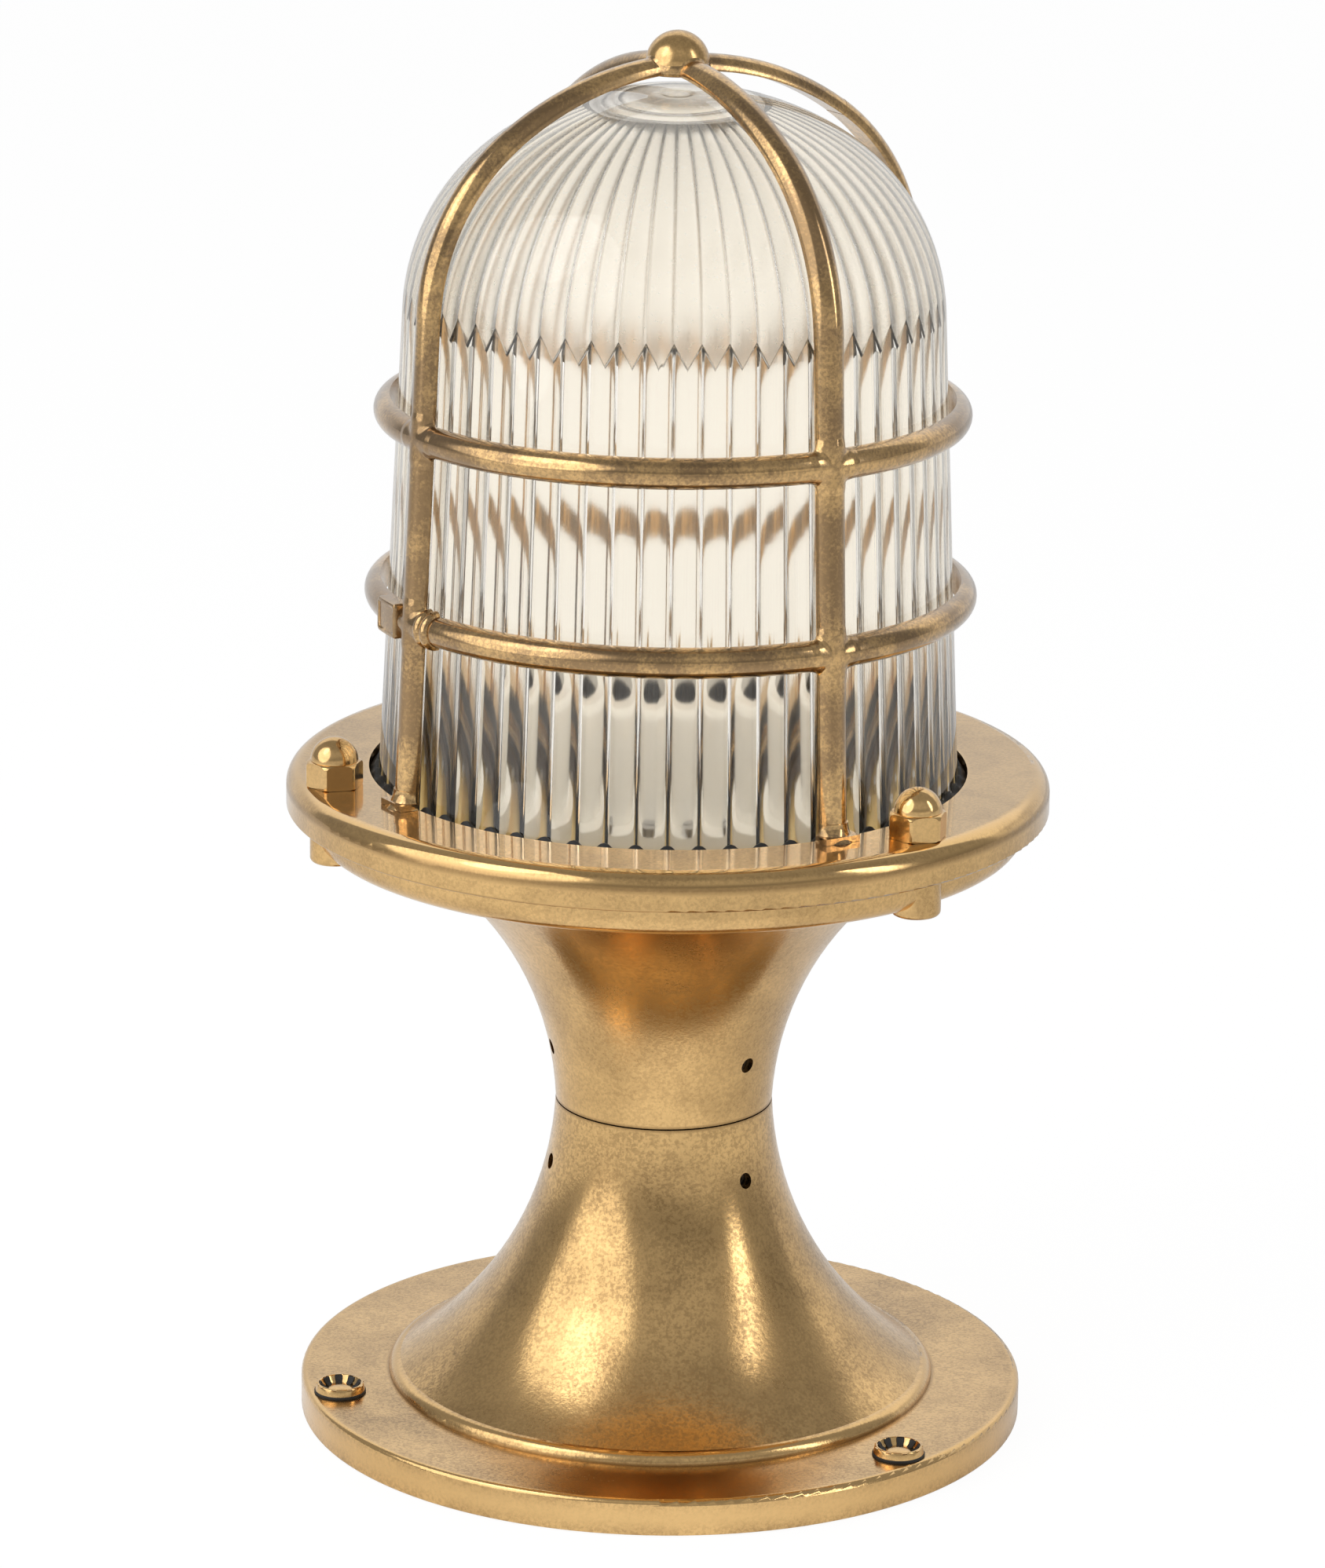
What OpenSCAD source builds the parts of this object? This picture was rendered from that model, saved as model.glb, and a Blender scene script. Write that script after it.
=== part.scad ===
// Brass post lantern with a fluted glass dome under a guard of ribs and hoops.
// Millimetres, +Z up, origin at the middle of the base plate's underside.

/* [Base] */
// Radius of the base plate
plate_r = 72.3; // [70:0.1:80]
// Thickness of the base plate
plate_t = 7.3; // [5:0.1:10]
// Rounding of the plate's top edge
plate_round = 1.1; // [0.4:0.1:2]
// Radius where the trumpet meets its foot bead
foot_r = 52.4; // [46:0.1:54]
// Radius of the rounded foot bead
foot_bead = 2.3; // [1:0.1:3]
// Height of the seam between the two trumpets
seam_z = 64.6; // [56:0.1:80]
// Radius of the neck at its waist
neck_r = 21.5; // [20:0.1:24]
// Height of the lower trumpet's waist above the seam
base_waist_up = 3.4; // [0:0.1:6]
// Wall of the cast trumpets
cast_wall = 3.5; // [2.5:0.1:5]
// Length of the bore that holds the pipe in the lower neck
base_socket = 24; // [20:1:30]
// Distance of the fixing screws from the plate's edge
post_in = 6.3; // [5.5:0.1:8]
// Radius of a fixing screw's hole
post_hole_r = 2.6; // [2:0.1:3]
// Radius of the countersink for a fixing screw's head
post_sink_r = 4.3; // [3.2:0.1:4.8]
// Width of the gasket let into the underside
base_gasket_w = 7; // [4:0.1:8]
// Thickness of the gasket let into the underside
base_gasket_t = 2; // [1:0.1:3]

/* [Head] */
// Distance of the flange's edge inside the clamp ring's edge
flange_in = 4.5; // [2:0.1:5]
// Thickness of the flange on the upper trumpet
flange_t = 6.3; // [5.5:0.1:9]
// Rounding under the flange's edge
flange_round = 4; // [1:0.1:5]
// Height from the seam at the neck to the underside of the flange
head_h = 54.6; // [50:0.1:66]
// Depth of the upper trumpet's waist below the seam
head_waist_down = 2.6; // [0:0.1:6]
// Radius of the upper trumpet where it meets the flange
head_top_r = 54.6; // [49:0.1:60]
// Radius of the ears that carry the studs
ear_r = 4.8; // [4.4:0.1:5.5]
// Drop of the ears below the flange
ear_drop = 1.4; // [0.5:0.1:3]
// Length of the bore that turns on the pipe in the upper neck
head_socket = 23; // [18:1:28]
// Width of the seat inside the flange
seat_w = 12.4; // [11.4:0.1:14]
// Gap between the turning parts at the neck, and where the ring stands off the flange
seat_gap = 0.3; // [0.2:0.05:0.5]

/* [Coupling pipe] */
// Outer radius of the pipe inside the neck
pipe_r = 17; // [14:0.1:17.5]
// Wall of the pipe
pipe_wall = 2; // [1.5:0.1:3]
// Running clearance of the head on the pipe, on the radius
pipe_clear = 0.08; // [0.04:0.01:0.1]
// Radius of a grub screw
grub_r = 1.5; // [1:0.1:2.5]
// Distance of the grub screws from the seam
grub_off = 12; // [8:0.1:16]
// Radius of the cable hole in the rubber bush
bush_bore_r = 4.5; // [3:0.1:6]
// Length of the bush inside the pipe
bush_len = 6; // [4:0.5:10]
// Thickness of the bush's collar
bush_collar_t = 2.5; // [1.5:0.1:4]

/* [Clamp ring] */
// Outer radius of the clamp ring
ring_r = 75; // [66:0.1:84]
// Thickness of the clamp ring
ring_t = 7.46; // [6.5:0.01:10]
// Width of the clamp ring's face, from its edge to the opening for the glass
ring_w = 16.2; // [15.8:0.1:18]
// Rounding of the ring's top edge
ring_round = 3.4; // [1:0.1:4]
// Distance of the flange studs from the ring's edge
stud_in = 8; // [7.6:0.1:8.6]
// Radius of a flange stud
stud_r = 3; // [2.5:0.1:3]
// Width across flats of the cap nuts
hex_af = 10; // [8.6:0.1:11]
// Height of the six-sided part of a cap nut
nut_hex_h = 5; // [4:0.1:6]
// Overall height of a cap nut
nut_h = 9.6; // [8.5:0.1:12]
// Depth of the threaded hole in a cap nut
nut_bore_h = 7.4; // [5:0.1:7.8]

/* [Glass] */
// Gap between the glass and the clamp ring's opening
glass_gap = 2; // [1.8:0.1:4]
// How much the glass wall draws in on the radius, from the ring to the dome
glass_taper = 4.4; // [2:0.1:7]
// Height of the dome itself, above the end of the glass wall
dome_h = 43; // [38:0.1:48]
// Height of the top of the dome above the clamp ring
glass_h = 134.7; // [122:0.1:170]
// Radius of the dome's shoulder
glass_shoulder = 42.5; // [34:0.1:44]
// Thickness of the glass
glass_t = 4; // [3:0.1:5]
// How far the glass rim reaches under the clamp ring
rim_lap = 2.7; // [1.7:0.1:3]
// Thickness of the glass rim
rim_t = 4.5; // [3:0.1:5]
// Thickness of each gasket at the rim
gasket_t = 1.5; // [1:0.1:2]

/* [Guard] */
// Width of a guard bar
bar_w = 6; // [4.5:0.1:8]
// Depth of a guard bar, from its flat inner face
bar_d = 3.1; // [3:0.1:4.5]
// Gap between the glass and the flat face of the bars
guard_gap = 1.5; // [0.5:0.1:2.5]
// Rise of the bars above the glass at the crown
crown_gap = 3.1; // [1.5:0.1:6]
// How much higher the ribs begin to bend than the glass
rib_bend_up = 3.5; // [1:0.1:6]
// Radius of the bend at the ribs' shoulder
rib_shoulder = 40.4; // [35:0.1:41.5]
// Number of ribs
rib_count = 4; // [4]
// Turn of the first rib from the stud at the front left
rib_turn = 17; // [14:1:30]
// Height of the upper hoop above the clamp ring
upper_hoop_h = 71.7; // [60:0.1:80]
// Height of the lower hoop above the clamp ring
lower_hoop_h = 35.8; // [20:0.1:50]
// Radius of the ball at the crown
ball_r = 6.15; // [5:0.05:8]
// Height of the ball's centre above the flat side of the ribs
ball_up = 1.55; // [1:0.05:4]
// Width of a rib's foot pad
pad_w = 7.6; // [6.2:0.1:10]
// Thickness of a rib's foot pad
pad_t = 1.2; // [0.6:0.1:2]
// Length of the bare plate on the lower hoop, as an angle
tag_angle = 8; // [5:0.1:9]
// Height of the bare plate
tag_h = 7.4; // [6.6:0.1:10]
// Thickness of the bare plate over the bar
tag_t = 0.9; // [0.5:0.1:1.5]
// Width of the ferrule beside the rib, as an angle
ferrule_angle = 4; // [2:0.1:5]

/* [Lampholder] */
// Height of the lampholder's mouth above the clamp ring
mouth_h = 16.7; // [12:0.1:24]
// Overall height of the porcelain
holder_h = 46.8; // [42:0.1:48]
// Radius of the porcelain above its collar
holder_r = 21; // [19.5:0.1:22]
// Radius of the porcelain below the tray
holder_tail_r = 19; // [17:0.1:20]
// Radius of the porcelain's collar
collar_r = 27; // [26:0.1:30]
// Thickness of the porcelain's collar
collar_t = 6; // [4:0.1:8]
// Inner radius of the screw shell
shell_r = 13.4; // [13:0.1:14]
// Wall of the screw shell
shell_wall = 0.6; // [0.4:0.1:1]
// Length of the screw shell
shell_h = 26; // [20:0.1:28]
// Clearance of the tray inside the head's bell and bowl
tray_gap = 0.9; // [0.6:0.1:2]
// Thickness of the tray
tray_t = 1.5; // [1:0.1:2]
// Depth of the tray's top below the head's seat
tray_down = 4.2; // [3:0.1:6]
// Distance of the tray screws from the tray's edge
tray_screw_in = 4.5; // [4:0.1:5]
// Radius of a small machine screw
screw_r = 1.6; // [1.25:0.05:2]
// Radius of the inner leads
lead_r = 1.1; // [0.8:0.1:1.4]
// Height of the terminal block
block_h = 8.6; // [8:0.1:9.5]
// Length of the terminal block
block_l = 22; // [18:0.1:23]
// Width of the terminal block
block_w = 10; // [9:0.1:10.5]
// Gap between the porcelain and the terminal block
block_gap = 1.9; // [1.6:0.1:2.4]
// Height of the centre contact above the bottom of the porcelain's hollow
contact_h = 3.8; // [3:0.1:3.9]

/* [Hidden] */
$fn = 96;

// Small values shared by every fit
cut = 1;
fit = 0.05;
hair = 0.01;
edge = 0.5;

// Angles: the front left stud, then one every third of a turn
stud_from = -165;
stud_count = 3;
stud_angles = [for (i = [0 : stud_count - 1]) stud_from + i * 360 / stud_count];
rib_angles = [for (i = [0 : rib_count - 1]) stud_from + rib_turn + i * 360 / rib_count];

// Lower trumpet: an arc from the waist to the foot
foot_z = plate_t + foot_bead;
base_waist_z = seam_z + base_waist_up;
base_arc = arc_through(foot_r - neck_r, base_waist_z - foot_z);
base_arc_x = neck_r + base_arc;
base_bell_r = foot_r - cast_wall;
socket_r = pipe_r + pipe_clear;
gasket_margin = 1.5;
base_gasket_in = base_bell_r + foot_bead + gasket_margin;
post_pcr = plate_r - post_in;

// Upper trumpet: an arc from the waist to the flange
flange_r = ring_r - flange_in;
head_z = seam_z + seat_gap;
flange_z = seam_z + head_h;
flange_top = flange_z + flange_t;
ear_z = flange_z - ear_drop;
ear_round = 1;
head_waist_z = seam_z - head_waist_down;
head_arc = arc_through(head_top_r - neck_r, flange_z - head_waist_z);
head_arc_x = neck_r + head_arc;
head_socket_z = seam_z + head_socket;

// Stack of gaskets, glass rim and clamp ring
ring_hole_r = ring_r - ring_w;
stud_pcr = ring_r - stud_in;
rim_r = ring_hole_r + rim_lap;
rim_fit = 0.9;
recess_r = rim_r + rim_fit;
bowl_r = recess_r - seat_w;
seat_depth = 2.9;
seat_z = flange_top - seat_depth;
rim_z = seat_z + gasket_t;
rim_top = rim_z + rim_t;
ring_z = flange_top + seat_gap;
ring_top = ring_z + ring_t;
recess_top = rim_top + gasket_t;
gasket_in_clear = 0.6;
gasket_out_clear = 0.4;
gasket_set_in = 1;

// Glass wall and dome
glass_r = ring_hole_r - glass_gap;
glass_top_r = glass_r - glass_taper;
glass_wall_h = glass_h - dome_h;
lean = glass_taper / glass_wall_h;
lean_angle = atan(lean);
glass_bend_z = ring_top + glass_wall_h;
glass_top = ring_top + glass_h;
rim_wall_r = glass_r + lean * (ring_top - rim_z);
split_down = 3;
glass_split_z = glass_bend_z - split_down;

// Flat inner face of the guard bars
face_bend_z = glass_bend_z + rib_bend_up;
face_top = glass_top + crown_gap;
bar_round = bar_w / 2;
bar_u = bar_d - bar_round;
hub_over = 0.3;
hub_r = bar_w / 2 * sqrt(2) + hub_over;
ball_z = face_top + ball_up;
upper_hoop_z = ring_top + upper_hoop_h;
lower_hoop_z = ring_top + lower_hoop_h;
lap_slot = bar_w + 2 * fit;
pad_edge = 0.1;
pad_toe = 1.2;
pad_in = ring_hole_r + pad_edge;
pad_out = guard_face_r(ring_top) + bar_d + pad_toe;
plate_from_rib = 0.4;
rib_run_in = 1.5;
rib_root = 5;

// Studs and cap nuts
stud_hole_r = stud_r + seat_gap;
nut_play = fit;
nut_z = ring_top + fit;
nut_step = 0.35;
nut_chamfer = 0.15;
nut_top_round = 1;
nut_low_round = 0.3;
nut_dome_r = hex_af / 2 - nut_step;
stud_short = 0.8;
stud_tip = nut_z + nut_bore_h - stud_short;
stud_slot_w = 0.9;
stud_slot_d = 1.2;
hex_r = hex_af / sqrt(3);

// Neck screws and bush
grub_len = 4.2;
grub_socket_r = 0.9;
grub_socket_d = 1.6;
bush_gap = 0.1;
pipe_over = 2.4;
pipe_lift = 0.4;
pipe_top = head_socket_z + pipe_over;
pipe_bottom = seam_z - base_socket + pipe_lift;
pipe_in = pipe_r - pipe_wall;

// Lampholder, tray and wiring
mouth_z = ring_top + mouth_h;
holder_z = mouth_z - holder_h;
tray_top = seat_z - tray_down;
tray_z = tray_top - tray_t;
tray_r = min(head_bell_r(tray_z), bowl_r) - tray_gap;
tray_pcr = tray_r - tray_screw_in;
lug_r = 4.5;
lug_h = 4.6;
lug_floor = 1;
lug_room = 0.4;
lug_angles = [for (i = [0 : 2]) stud_from + 60 + i * 120];
tail_clear = 0.8;
tray_hole_r = holder_tail_r + tail_clear;
holder_screw_out = 3.2;
holder_screw_at = holder_r + holder_screw_out;
holder_round = 2;
holder_screw_over = 2;
shell_out = shell_r + shell_wall;
shell_down = 3;
shell_top = mouth_z - shell_down;
shell_z = shell_top - shell_h;
shell_lip_w = 2;
shell_lip_t = 0.8;
shell_clear = 0.15;
contact_room = 4;
cavity_r = shell_out + shell_clear;
cavity_z = shell_z - contact_room;
contact_r = 1.4;
contact_plate_r = 5;
contact_plate_t = 0.8;
head_r = screw_r * 1.8;
head_t = screw_r * 1.2;
slot_w = 0.6;
block_x = holder_tail_r + block_gap + block_w / 2;
block_z = tray_z - block_h;
block_sink_clear = 0.3;
block_sink = head_t + block_sink_clear;
block_screw_up = 2;
clamp_r = 1;
clamp_out = 0.6;
clamp_pitch = 7;
lead_y = 6;
lead_bend = 3;
lead_under = 0.8;
lead_run_z = min(block_z - lead_bend, holder_z - lead_r - lead_under);
lead_in_x = 9;
lead_sink = 4;
lead_in_up = 3;
earth_from_block = 10;
earth_y = block_l / 2 + earth_from_block;
earth_lead_down = 4.6;
earth_lead_z = tray_z - earth_lead_down;
earth_lead_sink = 3;
earth_sink_room = 0.5;
earth_nut_h = 2.6;
earth_screw_over = 6;
eye_t = 1.2;
eye_lap = 1;

// Radius of the arc that meets an upright line and ends "out" beside and "up" along it
function arc_through(out, up) = (out * out + up * up) / (2 * out);
// Radius of the head's hollow at a height below the flange
function head_bell_r(z) = head_arc_x - sqrt(pow(head_arc + cast_wall, 2) - pow(z - head_waist_z, 2));
// Radius of the glass wall's outside at a height
function glass_wall_r(z) = glass_r - lean * (z - ring_top);
// Radius of the guard's flat inner face at a height on the wall
function guard_face_r(z) = glass_wall_r(z) + guard_gap;

// A dome outline is [wall start r, wall start z, bend r, bend z, shoulder radius, shoulder x, shoulder z,
// crown radius, crown z, angle where shoulder and crown meet]
function dome_shape(r0, z0, bend_r, bend_z, shoulder, top) =
    let (a = min(shoulder, 0.98 * (top - bend_z) / (1 - sin(lean_angle)), bend_r))
    let (x = bend_r - a * cos(lean_angle))
    let (z = bend_z - a * sin(lean_angle))
    let (up = top - z)
    let (b = (x * x + up * up - a * a) / (2 * (up - a)))
    [r0, z0, bend_r, bend_z, a, x, z, b, top - b, atan2(z - top + b, x)];

// The same outline moved inward by a wall
function dome_inside(s, wall) = [
    s[0] - wall / cos(lean_angle), s[1], s[2] - wall * cos(lean_angle), s[3] - wall * sin(lean_angle),
    s[4] - wall, s[5], s[6], s[7] - wall, s[8], s[9]
];

glass_shape = dome_shape(rim_wall_r, rim_z, glass_top_r, glass_bend_z, glass_shoulder, glass_top);
face_shape = dome_shape(
    guard_face_r(ring_top), ring_top, guard_face_r(face_bend_z), face_bend_z, rib_shoulder, face_top
);

// Shared outlines and pieces

// A slice of a disc about [x, z] between two angles
module sector(x, z, r, from, to) {
    reach = 1.5 * r;
    mid = (from + to) / 2;
    intersection() {
        translate([x, z]) circle(r = r, $fn = 180);
        polygon([
            [x, z],
            [x + reach * cos(from), z + reach * sin(from)],
            [x + reach * cos(mid), z + reach * sin(mid)],
            [x + reach * cos(to), z + reach * sin(to)]
        ]);
    }
}

// Half outline of a filled dome, from its shape list; the shoulder stands a hair proud of wall and crown
module dome_outline(s) {
    mid = (lean_angle + s[9]) / 2;
    half = s[4] / 2;
    polygon([
        [0, s[1]], [s[0], s[1]], [s[2], s[3]],
        [s[5] + half * cos(mid), s[6] + half * sin(mid)],
        [0, s[8] + s[7] / 2]
    ]);
    intersection() {
        translate([s[5], s[6]]) circle(r = s[4] + hair, $fn = 180);
        translate([0, s[1]]) square([2 * s[0], 2 * (s[3] - s[1])]);
    }
    sector(0, s[8], s[7], s[9], 90);
}

// Half outline of a disc with rounded edges
module disc_outline(r, z0, z1, top_round, low_round) {
    difference() {
        translate([0, z0]) square([r, z1 - z0]);
        translate([r - top_round, z1 - top_round]) square([top_round + cut, top_round + cut]);
        translate([r - low_round, z0 - cut]) square([low_round + cut, low_round + cut]);
    }
    intersection() {
        translate([r - top_round, z1 - top_round]) circle(r = top_round, $fn = 64);
        translate([r - top_round - edge, z1 - top_round - edge / 2])
            square([top_round + 2 * edge, top_round + edge]);
    }
    intersection() {
        translate([r - low_round, z0 + low_round]) circle(r = low_round, $fn = 64);
        translate([r - low_round - edge, z0 - edge / 2]) square([low_round + 2 * edge, low_round + edge]);
    }
}

// Section of a guard bar: flat on the inside at x = 0, round outside, grown by g, the flat by inner
module bar_section(g = 0, inner = 0) {
    intersection() {
        translate([bar_u, 0]) circle(r = bar_round + g, $fn = 64);
        translate([-inner, -bar_w]) square([2 * bar_w, 2 * bar_w]);
    }
}

// Flat ring
module washer(r_in, r_out, z0, z1) {
    difference() {
        translate([0, 0, z0]) cylinder(r = r_out, h = z1 - z0);
        translate([0, 0, z0 - cut]) cylinder(r = r_in, h = z1 - z0 + 2 * cut);
    }
}

// Copies of a piece at the stud angles, at a radius
module at_studs(r) {
    for (a = stud_angles) rotate([0, 0, a]) translate([r, 0, 0]) children();
}

// Machine screw pointing down, head resting at z = 0
module small_screw(len) {
    translate([0, 0, -len]) cylinder(r = screw_r, h = len + fit, $fn = 32);
    difference() {
        cylinder(r = head_r, h = head_t, $fn = 32);
        translate([-2 * head_r, -slot_w / 2, head_t / 2]) cube([4 * head_r, slot_w, head_t]);
    }
}

// Radial hole through the neck for one grub screw
module grub_hole(z) {
    at_studs(0) translate([pipe_in, 0, z])
        rotate([0, 90, 0]) cylinder(r = grub_r + fit, h = neck_r, $fn = 32);
}

// Three grub screws bearing on the pipe
module grub_screws(z) {
    at_studs(0) translate([pipe_r + fit, 0, z]) rotate([0, 90, 0]) difference() {
        cylinder(r = grub_r, h = grub_len, $fn = 32);
        translate([0, 0, grub_len - grub_socket_d])
            cylinder(r = grub_socket_r, h = grub_socket_d + cut, $fn = 6);
    }
}

// Base pieces

module base_trumpet() {
    color("darkgoldenrod") difference() {
        rotate_extrude($fn = 180) {
            disc_outline(plate_r, 0, plate_t, plate_round, edge);
            translate([foot_r, plate_t]) circle(r = foot_bead, $fn = 64);
            difference() {
                translate([0, plate_t - edge]) square([foot_r, seam_z - plate_t + edge]);
                translate([base_arc_x, base_waist_z]) circle(r = base_arc, $fn = 360);
            }
        }
        rotate_extrude($fn = 180) difference() {
            translate([0, -cut]) square([base_bell_r, seam_z - base_socket + cut]);
            translate([base_arc_x, base_waist_z]) circle(r = base_arc + cast_wall, $fn = 360);
        }
        translate([0, 0, -cut]) cylinder(r = socket_r, h = seam_z + 2 * cut);
        washer(base_gasket_in, base_gasket_in + base_gasket_w, -cut, base_gasket_t);
        for (a = stud_angles) rotate([0, 0, a]) translate([post_pcr, 0, 0]) {
            translate([0, 0, -cut]) cylinder(r = post_hole_r, h = plate_t + 2 * cut, $fn = 48);
            translate([0, 0, plate_t - post_sink_r + post_hole_r])
                cylinder(r1 = post_hole_r, r2 = post_sink_r, h = post_sink_r - post_hole_r, $fn = 48);
        }
        grub_hole(seam_z - grub_off);
    }
}

module base_gasket() {
    color("dimgray")
        washer(base_gasket_in + fit, base_gasket_in + base_gasket_w - fit, 0, base_gasket_t - fit);
}

module coupling_pipe() {
    color("peru") washer(pipe_in, pipe_r, pipe_bottom, pipe_top);
}

module cable_bush() {
    spigot_r = pipe_in - bush_gap;
    color("black") difference() {
        union() {
            translate([0, 0, pipe_top - bush_len]) cylinder(r = spigot_r, h = bush_len + edge);
            translate([0, 0, pipe_top + fit]) cylinder(r = pipe_r, h = bush_collar_t);
        }
        translate([0, 0, pipe_top - bush_len - cut])
            cylinder(r = bush_bore_r, h = bush_len + bush_collar_t + 3 * cut, $fn = 64);
    }
}

module lower_grub_screws() {
    color("gray") grub_screws(seam_z - grub_off);
}

// Head pieces

module head_trumpet() {
    color("goldenrod") difference() {
        union() {
            rotate_extrude($fn = 180) {
                disc_outline(flange_r, flange_z, flange_top, edge, flange_round);
                difference() {
                    translate([0, head_z]) square([head_top_r, flange_z + edge - head_z]);
                    translate([head_arc_x, head_waist_z]) circle(r = head_arc, $fn = 360);
                }
            }
            at_studs(stud_pcr) rotate_extrude($fn = 64)
                disc_outline(ear_r, ear_z, flange_top, edge, ear_round);
        }
        translate([0, 0, head_z - cut]) cylinder(r = socket_r, h = head_socket + 2 * cut);
        difference() {
            rotate_extrude($fn = 180) difference() {
                translate([0, head_socket_z]) square([bowl_r, flange_top - head_socket_z + cut]);
                translate([head_arc_x, head_waist_z]) circle(r = head_arc + cast_wall, $fn = 360);
            }
            for (a = lug_angles) rotate([0, 0, a]) translate([tray_pcr, 0, tray_z - lug_h - fit]) lug();
        }
        translate([0, 0, seat_z]) cylinder(r = recess_r, h = seat_depth + cut);
        at_studs(stud_pcr) translate([0, 0, ear_z - cut])
            cylinder(r = stud_r + fit, h = flange_top - ear_z + 2 * cut, $fn = 48);
        grub_hole(seam_z + grub_off);
    }
}

// Lug in the bowl that takes one tray screw
module lug() {
    difference() {
        cylinder(r = lug_r, h = lug_h, $fn = 48);
        translate([0, 0, lug_floor]) cylinder(r = screw_r + fit, h = lug_h, $fn = 32);
    }
}

module upper_grub_screws() {
    color("gray") grub_screws(seam_z + grub_off);
}

// Three studs screwed into the ears, each with a screwdriver slot below
module flange_studs() {
    color("gold") at_studs(stud_pcr) difference() {
        translate([0, 0, ear_z]) cylinder(r = stud_r, h = stud_tip - ear_z, $fn = 48);
        translate([-2 * stud_r, -stud_slot_w / 2, ear_z - cut])
            cube([4 * stud_r, stud_slot_w, stud_slot_d + cut]);
    }
}

module seat_gasket() {
    color("black") washer(bowl_r + gasket_set_in, recess_r - gasket_out_clear, seat_z + fit, rim_z - fit);
}

// Lampholder and wiring

module holder_tray() {
    color("silver") difference() {
        washer(tray_hole_r, tray_r, tray_z, tray_top);
        for (a = lug_angles) rotate([0, 0, a]) translate([tray_pcr, 0, tray_z - cut])
            cylinder(r = screw_r + fit, h = tray_t + 2 * cut, $fn = 32);
        for (side = [-1, 1]) translate([0, side * holder_screw_at, tray_z - cut])
            cylinder(r = screw_r + fit, h = tray_t + 2 * cut, $fn = 32);
        translate([block_x, earth_y, tray_z - cut])
            cylinder(r = screw_r + fit, h = tray_t + 2 * cut, $fn = 32);
        translate([block_x, 0, tray_z - cut]) cylinder(r = screw_r + fit, h = tray_t + 2 * cut, $fn = 32);
    }
}

module tray_screws() {
    color("silver") for (a = lug_angles)
        rotate([0, 0, a]) translate([tray_pcr, 0, tray_top + fit])
            small_screw(tray_t + lug_h - lug_floor - lug_room);
}

module lampholder_body() {
    collar_z = tray_top + fit;
    color("white") difference() {
        union() {
            translate([0, 0, holder_z]) cylinder(r = holder_tail_r, h = holder_h / 2);
            translate([0, 0, collar_z]) cylinder(r = collar_r, h = collar_t);
            rotate_extrude($fn = 128)
                disc_outline(holder_r, collar_z, mouth_z, holder_round, edge);
        }
        translate([0, 0, cavity_z]) cylinder(r = cavity_r, h = mouth_z - cavity_z + cut, $fn = 128);
        for (side = [-1, 1]) {
            translate([0, side * holder_screw_at, collar_z - cut])
                cylinder(r = screw_r + fit, h = collar_t + 2 * cut, $fn = 32);
            translate([lead_in_x, side * lead_y, holder_z - cut])
                cylinder(r = lead_r + fit, h = lead_sink + cut, $fn = 32);
        }
    }
}

module lampholder_screws() {
    collar_top = tray_top + fit + collar_t;
    color("silver") for (side = [-1, 1])
        translate([0, side * holder_screw_at, collar_top + fit])
            small_screw(collar_t + tray_t + holder_screw_over);
}

module screw_shell() {
    color("gold") union() {
        washer(shell_r, shell_out, shell_z, shell_top);
        washer(shell_r - shell_lip_w, shell_out, shell_z - shell_lip_t, shell_z + fit);
    }
}

module centre_contact() {
    color("gold") translate([0, 0, cavity_z + fit]) {
        cylinder(r = contact_plate_r, h = contact_plate_t, $fn = 48);
        cylinder(r = contact_r, h = contact_h - contact_r, $fn = 48);
        translate([0, 0, contact_h - contact_r]) sphere(r = contact_r, $fn = 48);
    }
}

module terminal_block() {
    ways = [-1, 0, 1];
    color("ivory") difference() {
        translate([block_x - block_w / 2, -block_l / 2, block_z]) cube([block_w, block_l, block_h - fit]);
        for (i = ways) translate([block_x, i * lead_y, block_z - cut])
            cylinder(r = lead_r + fit, h = block_h / 2 + cut, $fn = 32);
        for (i = [-1, 1])
            translate([block_x - block_w / 2 - cut, i * clamp_pitch / 2, block_z + block_h / 2])
            rotate([0, 90, 0]) cylinder(r = clamp_r, h = block_w / 2, $fn = 32);
        translate([block_x, 0, block_z + block_screw_up])
            cylinder(r = screw_r + fit, h = block_h, $fn = 32);
        translate([block_x, 0, block_z - cut]) cylinder(r = head_r + 0.1, h = block_sink + cut, $fn = 32);
        translate([block_x, block_l / 2 - earth_lead_sink - earth_sink_room, earth_lead_z])
            rotate([-90, 0, 0])
                cylinder(r = lead_r + fit, h = earth_lead_sink + earth_sink_room + cut, $fn = 32);
    }
}

module terminal_screws() {
    inner = block_x - block_w / 2;
    color("silver") {
        for (i = [-1, 1]) translate([inner - clamp_out, i * clamp_pitch / 2, block_z + block_h / 2])
            rotate([0, 90, 0]) cylinder(r = clamp_r - fit, h = block_w / 2 - clamp_out, $fn = 32);
        translate([block_x, 0, block_z + block_sink - fit]) rotate([180, 0, 0])
            small_screw(tray_top - block_z - block_sink - fit);
    }
}

module earth_screw() {
    color("silver") translate([block_x, earth_y, tray_top + fit]) small_screw(tray_t + earth_screw_over);
}

module earth_nut() {
    color("silver") translate([block_x, earth_y, tray_z - fit - earth_nut_h]) difference() {
        cylinder(r = screw_r * 2, h = earth_nut_h, $fn = 6);
        translate([0, 0, -cut]) cylinder(r = screw_r + fit, h = earth_nut_h + 2 * cut, $fn = 32);
    }
}

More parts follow.
